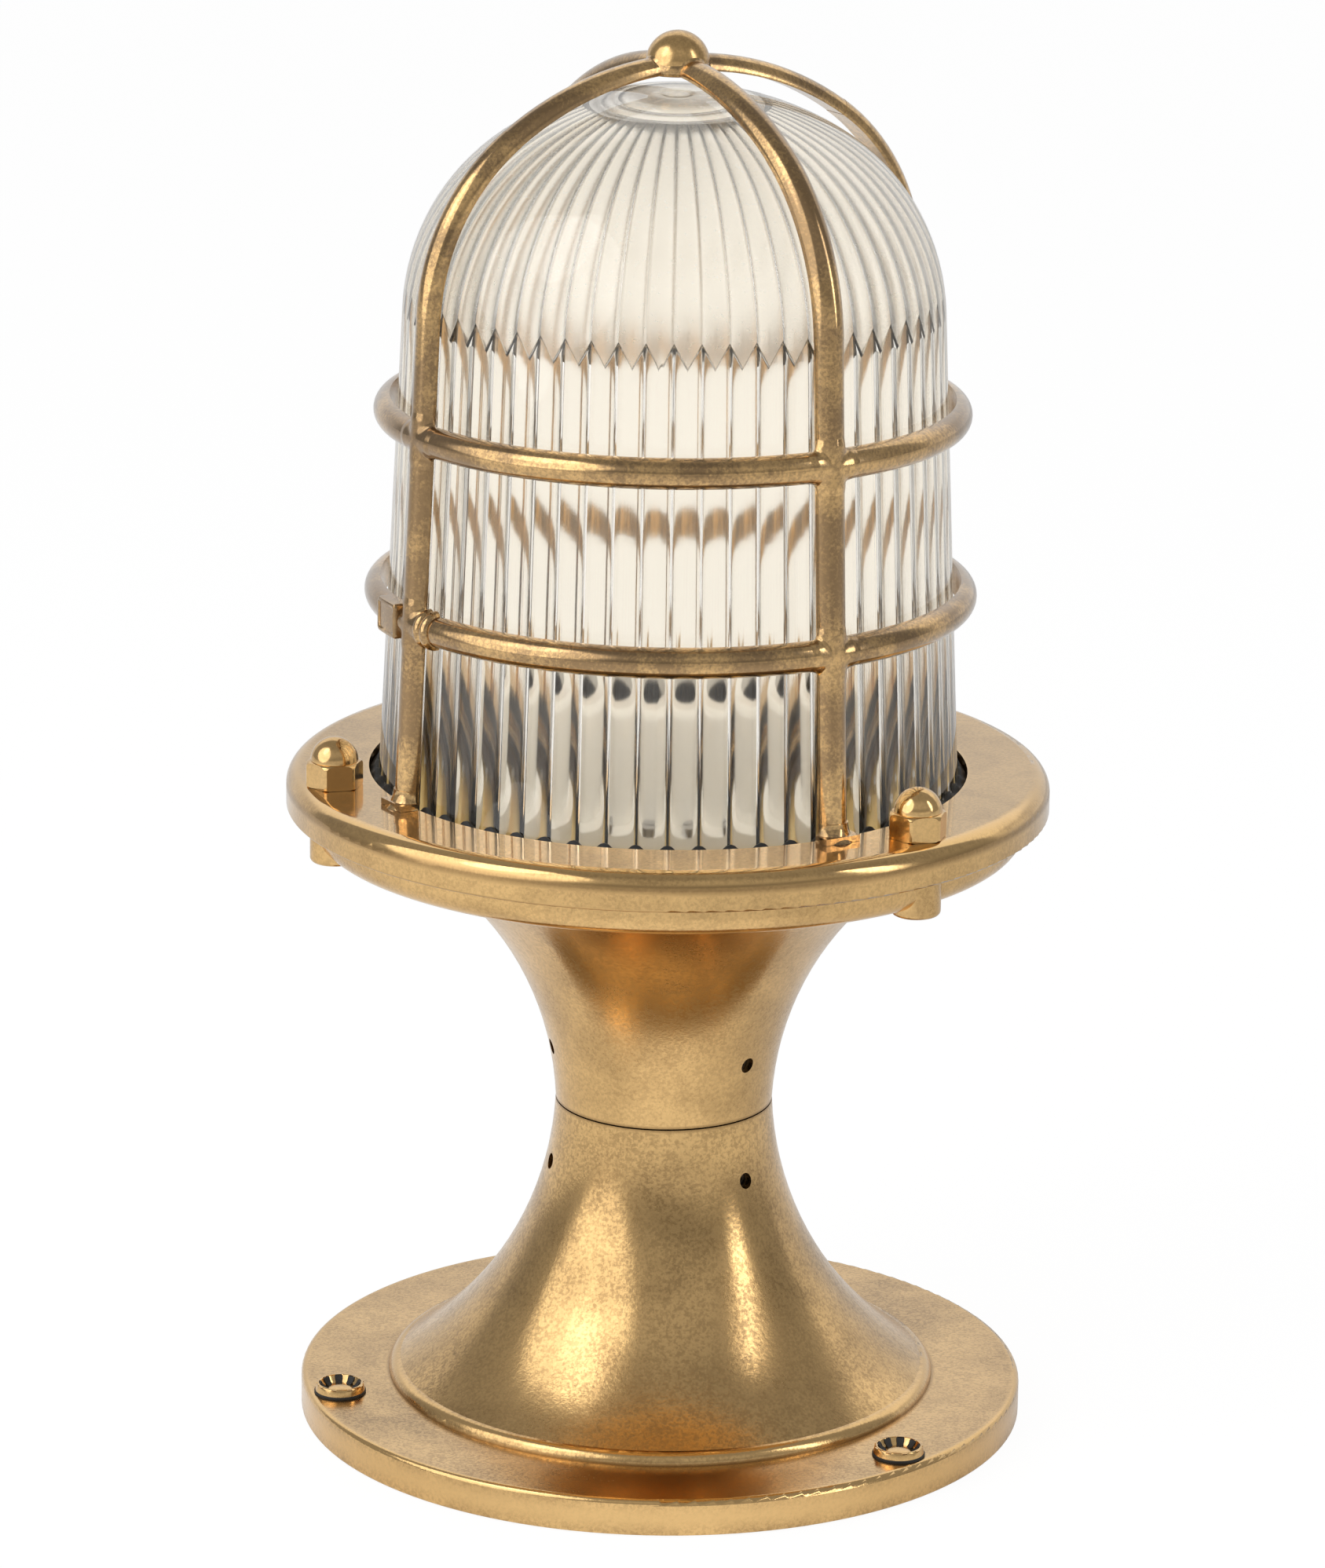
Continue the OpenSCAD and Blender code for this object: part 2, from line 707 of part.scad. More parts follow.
// A lead from the block down, across and up into the porcelain
module supply_lead(side) {
    y = side * lead_y;
    translate([block_x, y, lead_run_z])
        cylinder(r = lead_r, h = block_z - lead_run_z + lead_sink, $fn = 32);
    translate([block_x, y, lead_run_z]) sphere(r = lead_r, $fn = 32);
    translate([lead_in_x, y, lead_run_z]) rotate([0, 90, 0])
        cylinder(r = lead_r, h = block_x - lead_in_x, $fn = 32);
    translate([lead_in_x, y, lead_run_z]) sphere(r = lead_r, $fn = 32);
    translate([lead_in_x, y, lead_run_z])
        cylinder(r = lead_r, h = holder_z - lead_run_z + lead_in_up, $fn = 32);
}

module line_lead() {
    color("saddlebrown") supply_lead(1);
}

module neutral_lead() {
    color("royalblue") supply_lead(-1);
}

module earth_lead() {
    eye_r = screw_r * 2;
    start_y = block_l / 2 - earth_lead_sink;
    color("yellowgreen") {
        translate([block_x, start_y, earth_lead_z]) rotate([-90, 0, 0])
            cylinder(r = lead_r, h = earth_y - screw_r - eye_lap - start_y, $fn = 32);
        translate([block_x, earth_y, earth_lead_z]) washer(screw_r + fit, eye_r, -eye_t / 2, eye_t / 2);
    }
}

// Glass

// The whole pressed glass: its wall and its dome are one piece, kept as two solids that meet at a plane
module pressed_glass() {
    difference() {
        rotate_extrude($fn = 180) {
            dome_outline(glass_shape);
            disc_outline(rim_r, rim_z, rim_top, edge, edge);
        }
        rotate_extrude($fn = 180) union() {
            dome_outline(dome_inside(glass_shape, glass_t));
            translate([0, rim_z - cut]) square([rim_wall_r - glass_t, 2 * cut]);
        }
    }
}

module glass_wall() {
    color("lightcyan") difference() {
        pressed_glass();
        translate([0, 0, glass_split_z]) cylinder(r = ring_r, h = dome_h + 2 * split_down);
    }
}

module glass_dome() {
    color("lightcyan") difference() {
        pressed_glass();
        translate([0, 0, rim_z - cut]) cylinder(r = ring_r, h = glass_split_z - rim_z + cut);
    }
}

// Guard

module clamp_ring() {
    color("goldenrod") difference() {
        rotate_extrude($fn = 180) disc_outline(ring_r, ring_z, ring_top, ring_round, edge);
        translate([0, 0, ring_z - cut]) cylinder(r = ring_hole_r, h = ring_t + 2 * cut);
        translate([0, 0, ring_z - cut]) cylinder(r = recess_r, h = recess_top - ring_z + cut);
        at_studs(stud_pcr) translate([0, 0, ring_z - cut])
            cylinder(r = stud_hole_r, h = ring_t + 2 * cut, $fn = 48);
    }
}

module ring_gasket() {
    color("black")
        washer(rim_wall_r + gasket_in_clear, recess_r - gasket_out_clear, rim_top + fit, recess_top - fit);
}

// One rib along the guard's face: leaning wall, shoulder bend, crown bend, with notches for the hoops.
// Wall and crown run a little way into the bend, which is thicker by "fit"
module guard_rib(index) {
    s = face_shape;
    crown_from = s[9] - rib_run_in / s[7] * 180 / PI;
    wall_len = s[3] - ring_top + rib_root;
    difference() {
        rotate([0, 0, rib_angles[index]]) difference() {
            union() {
                intersection() {
                    translate([s[2], 0, s[3]]) rotate([0, -lean_angle, 0]) translate([0, 0, -wall_len])
                        linear_extrude(height = wall_len + rib_run_in) bar_section();
                    translate([0, -bar_w, ring_top + fit]) cube([2 * ring_r, 2 * bar_w, 2 * wall_len]);
                }
                translate([s[5], 0, s[6]]) rotate([90, 0, 0]) rotate([0, 0, lean_angle])
                    rotate_extrude(angle = s[9] - lean_angle, $fn = 180)
                    translate([s[4], 0]) bar_section(fit, fit);
                translate([0, 0, s[8]]) rotate([90, 0, 0]) rotate([0, 0, crown_from])
                    rotate_extrude(angle = 90 - crown_from, $fn = 180) translate([s[7], 0]) bar_section();
                translate([pad_in, -pad_w / 2, ring_top + fit]) cube([pad_out - pad_in, pad_w, pad_t]);
            }
            translate([0, 0, s[8]]) cylinder(r = hub_r + fit, h = 2 * s[7], $fn = 64);
            translate([0, 0, ball_z]) sphere(r = ball_r + fit, $fn = 96);
        }
        for (z = [lower_hoop_z, upper_hoop_z]) translate([0, 0, z - lap_slot / 2])
            cylinder(r = guard_face_r(z) + bar_d / 2 + fit, h = lap_slot, $fn = 180);
    }
}

module guard_rib_1() {
    color("peru") guard_rib(0);
}

module guard_rib_2() {
    color("peru") guard_rib(1);
}

module guard_rib_3() {
    color("peru") guard_rib(2);
}

module guard_rib_4() {
    color("peru") guard_rib(3);
}

// One hoop, lapped over the ribs: its inner half runs on behind them
module hoop(z) {
    face_r = guard_face_r(z);
    lap_r = face_r + bar_d / 2;
    difference() {
        translate([0, 0, z]) rotate_extrude($fn = 180) translate([face_r, 0]) bar_section();
        for (a = rib_angles) rotate([0, 0, a]) difference() {
            translate([face_r - bar_d, -lap_slot / 2, z - bar_w]) cube([3 * bar_d, lap_slot, 2 * bar_w]);
            translate([0, 0, z - 2 * bar_w]) cylinder(r = lap_r, h = 4 * bar_w, $fn = 180);
        }
    }
}

module upper_hoop() {
    color("peru") hoop(upper_hoop_z);
}

module lower_hoop() {
    color("peru") hoop(lower_hoop_z);
}

module crown_ball() {
    color("darkgoldenrod") intersection() {
        union() {
            translate([0, 0, ball_z]) sphere(r = ball_r, $fn = 96);
            translate([0, 0, face_top]) cylinder(r = hub_r, h = ball_up, $fn = 64);
        }
        translate([0, 0, face_top]) cylinder(r = 2 * ball_r, h = 3 * ball_r, $fn = 64);
    }
}

// Bare plate curved over the lower hoop, just left of the first rib
module hoop_plate() {
    face_r = guard_face_r(lower_hoop_z);
    gap_angle = asin((lap_slot / 2 + plate_from_rib) / face_r);
    color("peru") translate([0, 0, lower_hoop_z]) rotate([0, 0, rib_angles[0] - gap_angle - tag_angle])
        rotate_extrude(angle = tag_angle, $fn = 180) translate([face_r, 0]) difference() {
            translate([bar_u, -tag_h / 2]) square([bar_round + tag_t, tag_h]);
            translate([bar_u, 0]) circle(r = bar_round + fit, $fn = 64);
        }
}

// Ferrule over the lower hoop, right of the first rib
module hoop_ferrule() {
    face_r = guard_face_r(lower_hoop_z);
    gap_angle = asin((lap_slot / 2 + plate_from_rib) / face_r);
    color("peru") translate([0, 0, lower_hoop_z]) rotate([0, 0, rib_angles[0] + gap_angle])
        rotate_extrude(angle = ferrule_angle, $fn = 180) translate([face_r, 0]) difference() {
            bar_section(tag_t);
            bar_section(fit);
        }
}

// Domed cap nut standing on the clamp ring, with its threaded hole
module cap_nut(index) {
    rotate([0, 0, stud_angles[index]]) translate([stud_pcr, 0, nut_z]) difference() {
        union() {
            intersection() {
                cylinder(r = hex_r, h = nut_hex_h, $fn = 6);
                rotate_extrude($fn = 64)
                    disc_outline(hex_r - nut_chamfer, 0, nut_hex_h, nut_top_round, nut_low_round);
            }
            translate([0, 0, nut_h - nut_dome_r]) sphere(r = nut_dome_r, $fn = 64);
        }
        translate([0, 0, -cut]) cylinder(r = stud_r + nut_play, h = nut_bore_h + cut, $fn = 48);
        translate([0, 0, -hex_af]) cylinder(r = hex_af, h = hex_af);
    }
}

module cap_nut_1() {
    color("gold") cap_nut(0);
}

module cap_nut_2() {
    color("gold") cap_nut(1);
}

module cap_nut_3() {
    color("gold") cap_nut(2);
}

base_trumpet();
base_gasket();
coupling_pipe();
cable_bush();
lower_grub_screws();
head_trumpet();
upper_grub_screws();
flange_studs();
seat_gasket();
holder_tray();
tray_screws();
lampholder_body();
lampholder_screws();
screw_shell();
centre_contact();
terminal_block();
terminal_screws();
earth_screw();
earth_nut();
line_lead();
neutral_lead();
earth_lead();
glass_wall();
glass_dome();
clamp_ring();
ring_gasket();
guard_rib_1();
guard_rib_2();
guard_rib_3();
guard_rib_4();
upper_hoop();
lower_hoop();
crown_ball();
hoop_plate();
hoop_ferrule();
cap_nut_1();
cap_nut_2();
cap_nut_3();
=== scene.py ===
"""Looks of the brass post lantern: aged brass, fluted glass, fixing screws, camera and studio light."""

import logging
import math
from dataclasses import dataclass, field
from enum import Enum
from typing import Callable, Iterable, Sequence

import bmesh
import bpy
from mathutils import Matrix, Quaternion, Vector


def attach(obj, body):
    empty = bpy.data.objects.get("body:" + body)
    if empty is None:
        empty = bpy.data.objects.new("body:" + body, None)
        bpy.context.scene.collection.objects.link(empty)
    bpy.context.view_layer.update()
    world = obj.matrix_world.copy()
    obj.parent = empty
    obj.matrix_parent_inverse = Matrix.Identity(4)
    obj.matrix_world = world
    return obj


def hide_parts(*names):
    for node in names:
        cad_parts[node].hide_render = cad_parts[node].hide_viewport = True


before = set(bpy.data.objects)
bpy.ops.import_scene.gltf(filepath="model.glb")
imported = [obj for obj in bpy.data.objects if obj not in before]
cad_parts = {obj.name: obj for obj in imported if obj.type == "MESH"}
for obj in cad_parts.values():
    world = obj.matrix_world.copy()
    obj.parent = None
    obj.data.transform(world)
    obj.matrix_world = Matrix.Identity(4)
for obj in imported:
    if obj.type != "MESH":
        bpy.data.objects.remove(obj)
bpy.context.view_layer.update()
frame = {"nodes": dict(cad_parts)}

LOG = logging.getLogger("lantern")
MM = 0.001
FULL_TURN = 2 * math.pi
Colour = tuple[float, float, float]


# Shader maths

class Value:
    """A number socket that grows Math nodes when it is used in an expression."""

    def __init__(self, kit: "NodeKit", socket: bpy.types.NodeSocket) -> None:
        self.kit = kit
        self.socket = socket

    def _math(self, operation: str, *operands: "Number") -> "Value":
        """Makes one Math node.

        Args:
            operation: the Math node's operation.
            operands: numbers or values, in the order of its inputs.

        Returns:
            The node's result.
        """
        node = self.kit.add("ShaderNodeMath", {"operation": operation}, dict(enumerate(operands)))
        return Value(self.kit, node.outputs[0])

    def __add__(self, other: "Number") -> "Value":
        """Sum."""
        return self._math("ADD", self, other)

    __radd__ = __add__

    def __sub__(self, other: "Number") -> "Value":
        """Difference."""
        return self._math("SUBTRACT", self, other)

    def __rsub__(self, other: "Number") -> "Value":
        """Difference, the other way round."""
        return self._math("SUBTRACT", other, self)

    def __mul__(self, other: "Number") -> "Value":
        """Product."""
        return self._math("MULTIPLY", self, other)

    __rmul__ = __mul__

    def __truediv__(self, other: "Number") -> "Value":
        """Quotient."""
        return self._math("DIVIDE", self, other)

    def power(self, other: "Number") -> "Value":
        """This number to a power."""
        return self._math("POWER", self, other)

    def root(self) -> "Value":
        """Square root."""
        return self._math("SQRT", self)

    def size(self) -> "Value":
        """This number without its sign."""
        return self._math("ABSOLUTE", self)

    def fraction(self) -> "Value":
        """What is left over the whole number below."""
        return self._math("FRACT", self)

    def angle(self, beside: "Value") -> "Value":
        """Angle in radians whose sine goes with this number and whose cosine with another."""
        return self._math("ARCTAN2", self, beside)

    def highest(self, other: "Number") -> "Value":
        """The larger of two."""
        return self._math("MAXIMUM", self, other)

    def ramp(self, low: float, high: float) -> "Value":
        """Rises smoothly from 0 at low to 1 at high.

        Args:
            low: the number that gives 0.
            high: the number that gives 1; it may be the smaller of the two.

        Returns:
            A value from 0 to 1.
        """
        node = self.kit.add("ShaderNodeMapRange", {"interpolation_type": "SMOOTHSTEP", "clamp": True},
                            {"Value": self, "From Min": min(low, high), "From Max": max(low, high)})
        rising = Value(self.kit, node.outputs["Result"])
        return rising if low < high else 1 - rising


Number = float | Value


class NodeKit:
    """Builds the nodes of one tree."""

    def __init__(self, tree: bpy.types.NodeTree) -> None:
        """Clears the tree and keeps it."""
        self.tree = tree
        tree.nodes.clear()

    def add(self, kind: str, settings: dict | None = None, inputs: dict | None = None) -> bpy.types.Node:
        """Adds a node.

        Args:
            kind: the node's type.
            settings: its own settings, set first; "stops" fills a colour ramp.
            inputs: values or links of its sockets, by name or number.

        Returns:
            The node.
        """
        node = self.tree.nodes.new(kind)
        for name, setting in (settings or {}).items():
            if name == "stops":
                elements = node.color_ramp.elements
                while len(elements) < len(setting):
                    elements.new(1.0)
                for element, (place, colour) in zip(elements, setting):
                    element.position, element.color = place, (*colour, 1.0)
            else:
                setattr(node, name, setting)
        for name, given in (inputs or {}).items():
            socket = node.inputs[name]
            if isinstance(given, Value):
                given = given.socket
            if isinstance(given, bpy.types.NodeSocket):
                self.tree.links.new(given, socket)
            elif isinstance(given, tuple) and len(given) == 3 and socket.type == "RGBA":
                socket.default_value = (*given, 1.0)
            else:
                socket.default_value = given
        return node

    def place(self) -> bpy.types.NodeSocket:
        """Object coordinates."""
        return self.add("ShaderNodeTexCoord").outputs["Object"]

    def axes(self, vector: bpy.types.NodeSocket) -> tuple[Value, Value, Value]:
        """The three parts of a vector."""
        node = self.add("ShaderNodeSeparateXYZ", None, {"Vector": vector})
        return tuple(Value(self, socket) for socket in node.outputs)

    def noise(self, vector: bpy.types.NodeSocket, scale: float, detail: float = 3.0,
              roughness: float = 0.55, distortion: float = 0.0) -> Value:
        """Noise from 0 to 1.

        Args:
            vector: where to read it.
            scale: waves a metre.
            detail: octaves.
            roughness: how much each octave keeps.
            distortion: how far it is drawn about.

        Returns:
            The noise.
        """
        node = self.add("ShaderNodeTexNoise", None, {
            "Vector": vector, "Scale": scale, "Detail": detail, "Roughness": roughness,
            "Distortion": distortion})
        return Value(self, node.outputs["Fac"])

    def mix(self, share: Number, first: "Colour | bpy.types.NodeSocket",
            second: "Colour | bpy.types.NodeSocket", blend: str = "MIX") -> bpy.types.NodeSocket:
        """Mixes two colours.

        Args:
            share: how much of the second.
            first: a colour.
            second: a colour.
            blend: the Mix node's way of blending.

        Returns:
            The mixed colour.
        """
        node = self.add("ShaderNodeMix", {"data_type": "RGBA", "blend_type": blend},
                        {0: share, 6: first, 7: second})
        return node.outputs[2]

    def bump(self, height: Value, depth: float, strength: float = 1.0,
             under: bpy.types.NodeSocket | None = None) -> bpy.types.NodeSocket:
        """Turns a height into a normal.

        Args:
            height: from 0 to 1.
            depth: how deep the full height is, in metres.
            strength: how much of it to use.
            under: a normal to lay it on.

        Returns:
            The normal.
        """
        inputs = {"Height": height, "Distance": depth, "Strength": strength}
        if under is not None:
            inputs["Normal"] = under
        return self.add("ShaderNodeBump", None, inputs).outputs["Normal"]

    def finish(self, inputs: dict) -> bpy.types.Node:
        """Adds the surface shader.

        Args:
            inputs: values or links of its sockets.

        Returns:
            The shader's node, already joined to the output.
        """
        shader = self.add("ShaderNodeBsdfPrincipled", None, inputs)
        self.add("ShaderNodeOutputMaterial", None, {"Surface": shader.outputs[0]})
        return shader


# Finishes

@dataclass(frozen=True)
class Edge:
    """A circle round the axis where the metal is rubbed bright, or where shade is painted dark.

    Attributes:
        radius: the circle's radius in millimetres.
        height: its height in millimetres.
        reach: how far from the circle the change fades out, in millimetres.
    """

    radius: float
    height: float
    reach: float


@dataclass(frozen=True)
class Hollow:
    """The inside of a flared casting, painted near black as shade: all that lies far enough from a circle round the
    axis.

    Attributes:
        radius: the circle's radius in millimetres.
        height: its height in millimetres.
        wall: distance from the circle to the middle of the casting's wall, in millimetres.
        bowl_z: height above which the bowl is inside too, in millimetres.
        bowl_r: radius of the bowl, in millimetres.
    """

    radius: float
    height: float
    wall: float
    bowl_z: float = 1000.0
    bowl_r: float = 1.0


MADE: dict["Finish", bpy.types.Material] = {}


@dataclass(frozen=True)
class Finish:
    """A surface finish that makes one material."""

    name: str

    def build(self, kit: NodeKit) -> None:
        """Adds the finish's nodes."""
        raise NotImplementedError

    def material(self) -> bpy.types.Material:
        """The finish's material, made once."""
        made = MADE.get(self)
        if made is None:
            made = bpy.data.materials.new(f"{self.name}_look")
            made.use_nodes = True
            self.build(NodeKit(made.node_tree))
            MADE[self] = made
        return made


@dataclass(frozen=True)
class AgedBrass(Finish):
    """Satin brass with grain, tarnished patches, rubbed edges, and where given, shade painted dark along seams and in
    the hollow inside.

    Attributes:
        bright: colour of clean metal.
        tarnish_and_shade: colour of the tarnished patches, and of the shade painted along the dark circles.
        tarnished: share of the surface that has darkened.
        gloss_low: roughness of the smoothest spots.
        gloss_high: roughness of the dullest spots.
        grain: grains a metre.
        grain_depth: depth of the grain in metres.
        rubbed: circles rubbed bright.
        painted_dark_circles: circles along seams and joins where shade is painted dark.
        hollow: the inside that is painted near black as shade, or None.
        speckled: how much the specks darken, against the patches.
        lacquer: weight of the clear lacquer.
        lacquer_ior: how strongly the lacquer reflects.
        inside_shade: colour of the shade painted inside the hollow.
    """

    bright: Colour = (0.80, 0.515, 0.21)
    tarnish_and_shade: Colour = (0.37, 0.225, 0.085)
    tarnished: float = 0.35
    gloss_low: float = 0.20
    gloss_high: float = 0.36
    grain: float = 1500.0
    grain_depth: float = 0.00003
    rubbed: tuple[Edge, ...] = ()
    painted_dark_circles: tuple[Edge, ...] = ()
    hollow: Hollow | None = None
    speckled: float = 0.75
    lacquer: float = 0.35
    lacquer_ior: float = 1.6
    inside_shade: Colour = (0.075, 0.055, 0.038)

    def _near(self, kit: NodeKit, radius: Value, height: Value, edges: Iterable[Edge]) -> Value | None:
        """Nearness to any of the circles, from 0 to 1."""
        found = None
        for edge in edges:
            out = radius - edge.radius * MM
            up = height - edge.height * MM
            near = (out * out + up * up).root().ramp(edge.reach * MM, 0.0)
            found = near if found is None else found.highest(near)
        return found

    def build(self, kit: NodeKit) -> None:
        """Adds the finish's nodes."""
        place = kit.place()
        x, y, z = kit.axes(place)
        radius = (x * x + y * y).root()
        cloud = kit.noise(place, 55.0, 4.0, 0.6, 0.4)
        grain = kit.noise(place, self.grain, 3.0, 0.65)
        coarse = kit.noise(place, self.grain * 0.42, 2.0, 0.6)
        speck = (grain * 0.6 + coarse * 0.4).ramp(0.42, 0.60)
        patch = (cloud + (coarse - 0.5) * 0.35).ramp(0.62, 0.36)
        dark = patch * self.tarnished + speck * self.tarnished * self.speckled
        rubbed = self._near(kit, radius, z, self.rubbed)
        if rubbed is not None:
            worn = rubbed * (0.55 + coarse * 0.6)
            dark = dark * (1 - worn).highest(0.0)
        # Painted shade: along the given circles the metal is darkened and dulled.
        painted_dark = self._near(kit, radius, z, self.painted_dark_circles)
        if painted_dark is not None:
            dark = dark.highest(painted_dark * (0.6 + grain * 0.6))
        colour = kit.mix(dark, self.bright, self.tarnish_and_shade)
        warm = kit.noise(place, 21.0, 2.0)
        colour = kit.mix(warm.ramp(0.35, 0.7) * 0.12, colour, (0.72, 0.45, 0.2))
        rough = self.gloss_low + (self.gloss_high - self.gloss_low) * (speck * 0.6 + patch * 0.4)
        if rubbed is not None:
            rough = rough - rubbed * 0.08
        if painted_dark is not None:
            rough = rough + painted_dark * 0.15
        # Painted shade: the hollow inside is painted near black; its roughness rises as on an unturned casting.
        if self.hollow is not None:
            hollow = self.hollow
            out, up = hollow.radius * MM - radius, z - hollow.height * MM
            inside = (out * out + up * up).root().ramp((hollow.wall - 0.4) * MM, (hollow.wall + 0.4) * MM)
            bowl = z.ramp(hollow.bowl_z * MM, (hollow.bowl_z + 0.3) * MM) * radius.ramp(
                (hollow.bowl_r + 0.3) * MM, hollow.bowl_r * MM)
            inside = inside.highest(bowl)
            colour = kit.mix(inside, colour, self.inside_shade)
            rough = rough + inside * 0.25
        normal = kit.bump(grain * 0.55 + coarse * 0.45, self.grain_depth)
        kit.finish({"Base Color": colour, "Metallic": 1.0, "Roughness": rough, "Normal": normal,
                    "Coat Weight": self.lacquer, "Coat Roughness": 0.2, "Coat IOR": self.lacquer_ior})


@dataclass(frozen=True)
class Coated(Finish):
    """A dull or glossy solid colour with specks and a fine texture, for the inner pieces.

    Attributes:
        colour: main colour.
        second: colour of specks and patches.
        mottled: how much of the second colour shows.
        metallic: 1 for metal.
        rough: mean roughness.
        texture: waves a metre.
        depth: depth of the texture in metres.
        coat: weight of a clear glaze.
        stretch: how much finer the texture is round the axis than along it.
    """

    colour: Colour = (0.5, 0.5, 0.5)
    second: Colour = (0.4, 0.4, 0.4)
    mottled: float = 0.5
    metallic: float = 0.0
    rough: float = 0.5
    texture: float = 900.0
    depth: float = 0.00002
    coat: float = 0.0
    stretch: float = 1.0

    def build(self, kit: NodeKit) -> None:
        """Adds the finish's nodes."""
        mapped = kit.add("ShaderNodeMapping", None, {
            "Vector": kit.place(), "Scale": (1.0, 1.0, 1.0 / self.stretch)}).outputs[0]
        fine = kit.noise(mapped, self.texture, 3.0, 0.6)
        broad = kit.noise(mapped, self.texture * 0.07, 3.0, 0.5)
        share = (fine.ramp(0.35, 0.75) * 0.5 + broad.ramp(0.4, 0.7) * 0.5) * self.mottled
        kit.finish({
            "Base Color": kit.mix(share, self.colour, self.second),
            "Metallic": self.metallic,
            "Roughness": self.rough + (fine - 0.5) * 0.12 + (broad - 0.5) * 0.1,
            "Coat Weight": self.coat, "Coat Roughness": 0.06,
            "Normal": kit.bump(fine, self.depth)})


@dataclass(frozen=True)
class PressedGlass(Finish):
    """Warm clear glass with the faint waves of a pressed surface, and shade lines painted along the dome's grooves
    and the zigzag; lamps shine through it.

    Attributes:
        tint: what it lets through.
        waves: waves a metre.
        depth: depth of the waves in metres.
        groove: what the painted shade lines along the dome's grooves and at the zigzag let through.
        reeds: number of reeds round the inside.
        junction_z: mean height of the zigzag in metres.
        zigzag: height of its teeth in metres.
    """

    tint: Colour = (1.0, 0.963, 0.89)
    waves: float = 140.0
    depth: float = 0.00006
    groove: Colour = (0.33, 0.25, 0.16)
    reeds: int = 60
    junction_z: float = 0.2256
    zigzag: float = 0.0046

    def build(self, kit: NodeKit) -> None:
        """Adds the finish's nodes."""
        place = kit.place()
        x, y, z = kit.axes(place)
        radius = (x * x + y * y).root()
        turn = y.angle(x) * (self.reeds / FULL_TURN)
        across = ((turn + self.reeds).fraction() * 2 - 1).size()
        step = self.junction_z + (across - 0.5) * self.zigzag
        inner = Value(kit, kit.add("ShaderNodeAttribute", {"attribute_name": "inside"}).outputs["Fac"])
        # Painted shade: a dark line along the zigzag and along each groove of the dome stands in for the refraction
        # seen there.
        edge = (z - step).size().ramp(0.0006, 0.0002) * inner
        above = (z - step).ramp(-0.0003, 0.0003)
        line = across.ramp(0.80, 0.97) * above * inner * radius.ramp(0.016, 0.026) * (0.3 + z.ramp(0.232, 0.25) * 0.7)
        wave = kit.noise(place, self.waves, 2.0, 0.5)
        seed = kit.noise(place, 900.0, 2.0)
        glass = kit.add("ShaderNodeBsdfPrincipled", None, {
            "Base Color": kit.mix((line * 0.75).highest(edge), self.tint, self.groove),
            "Transmission Weight": 1.0, "IOR": 1.5,
            "Roughness": 0.03 + seed.ramp(0.6, 0.8) * 0.02 + inner * (0.09 + above * 0.15),
            "Normal": kit.bump(wave, self.depth, 0.6)})
        clear = kit.add("ShaderNodeBsdfTransparent", None, {"Color": self.tint})
        path = kit.add("ShaderNodeLightPath")
        share = kit.add("ShaderNodeMixShader", None, {
            0: path.outputs["Is Shadow Ray"], 1: glass.outputs[0], 2: clear.outputs[0]})
        kit.add("ShaderNodeOutputMaterial", None, {"Surface": share.outputs[0]})


RUBBER = Coated("black_rubber", colour=(0.016, 0.016, 0.016), second=(0.04, 0.038, 0.035), rough=0.6,
                texture=1100.0, depth=0.00004)


# Meshes

def metres(points: Iterable[tuple[float, float]]) -> list[Vector]:
    """Points of a half section, radius and height in millimetres, as vectors in metres."""
    return [Vector((r * MM, 0.0, z * MM)) for r, z in points]


def arc(x: float, z: float, radius: float, start: float, end: float, steps: int) -> list[tuple[float, float]]:
    """Points along an arc.

    Args:
        x: centre.
        z: centre.
        radius: the arc's radius.
        start: first angle in degrees.
        end: last angle in degrees.
        steps: number of spans.

    Returns:
        The points, both ends included.
    """
    angles = [math.radians(start + (end - start) * i / steps) for i in range(steps + 1)]
    return [(x + radius * math.cos(a), z + radius * math.sin(a)) for a in angles]


def chain(mesh: bmesh.types.BMesh, points: Sequence[Vector], closed: bool = False) -> list:
    """Vertices joined by edges, as geometry for spin or extrude."""
    verts = [mesh.verts.new(p) for p in points]
    ends = zip(verts, verts[1:] + verts[:1]) if closed else zip(verts, verts[1:])
    edges = [mesh.edges.new(pair) for pair in ends]
    return verts + edges


def turned(mesh: bmesh.types.BMesh, points: Sequence[tuple[float, float]], steps: int,
           closed: bool = False) -> None:
    """Spins a half section round the axis.

    Args:
        mesh: the mesh to add to.
        points: radius and height in millimetres; a radius of 0 closes at a pole.
        steps: spans round the axis.
        closed: True joins the last point to the first.
    """
    bmesh.ops.spin(mesh, geom=chain(mesh, metres(points), closed), cent=(0, 0, 0), axis=(0, 0, 1),
                   dvec=(0, 0, 0), angle=FULL_TURN, steps=steps, use_merge=True, use_duplicate=False)


def tidied(mesh: bmesh.types.BMesh, reach: float = 1e-7) -> None:
    """Merges doubles and turns the faces outwards."""
    bmesh.ops.remove_doubles(mesh, verts=mesh.verts, dist=reach)
    bmesh.ops.recalc_face_normals(mesh, faces=mesh.faces)


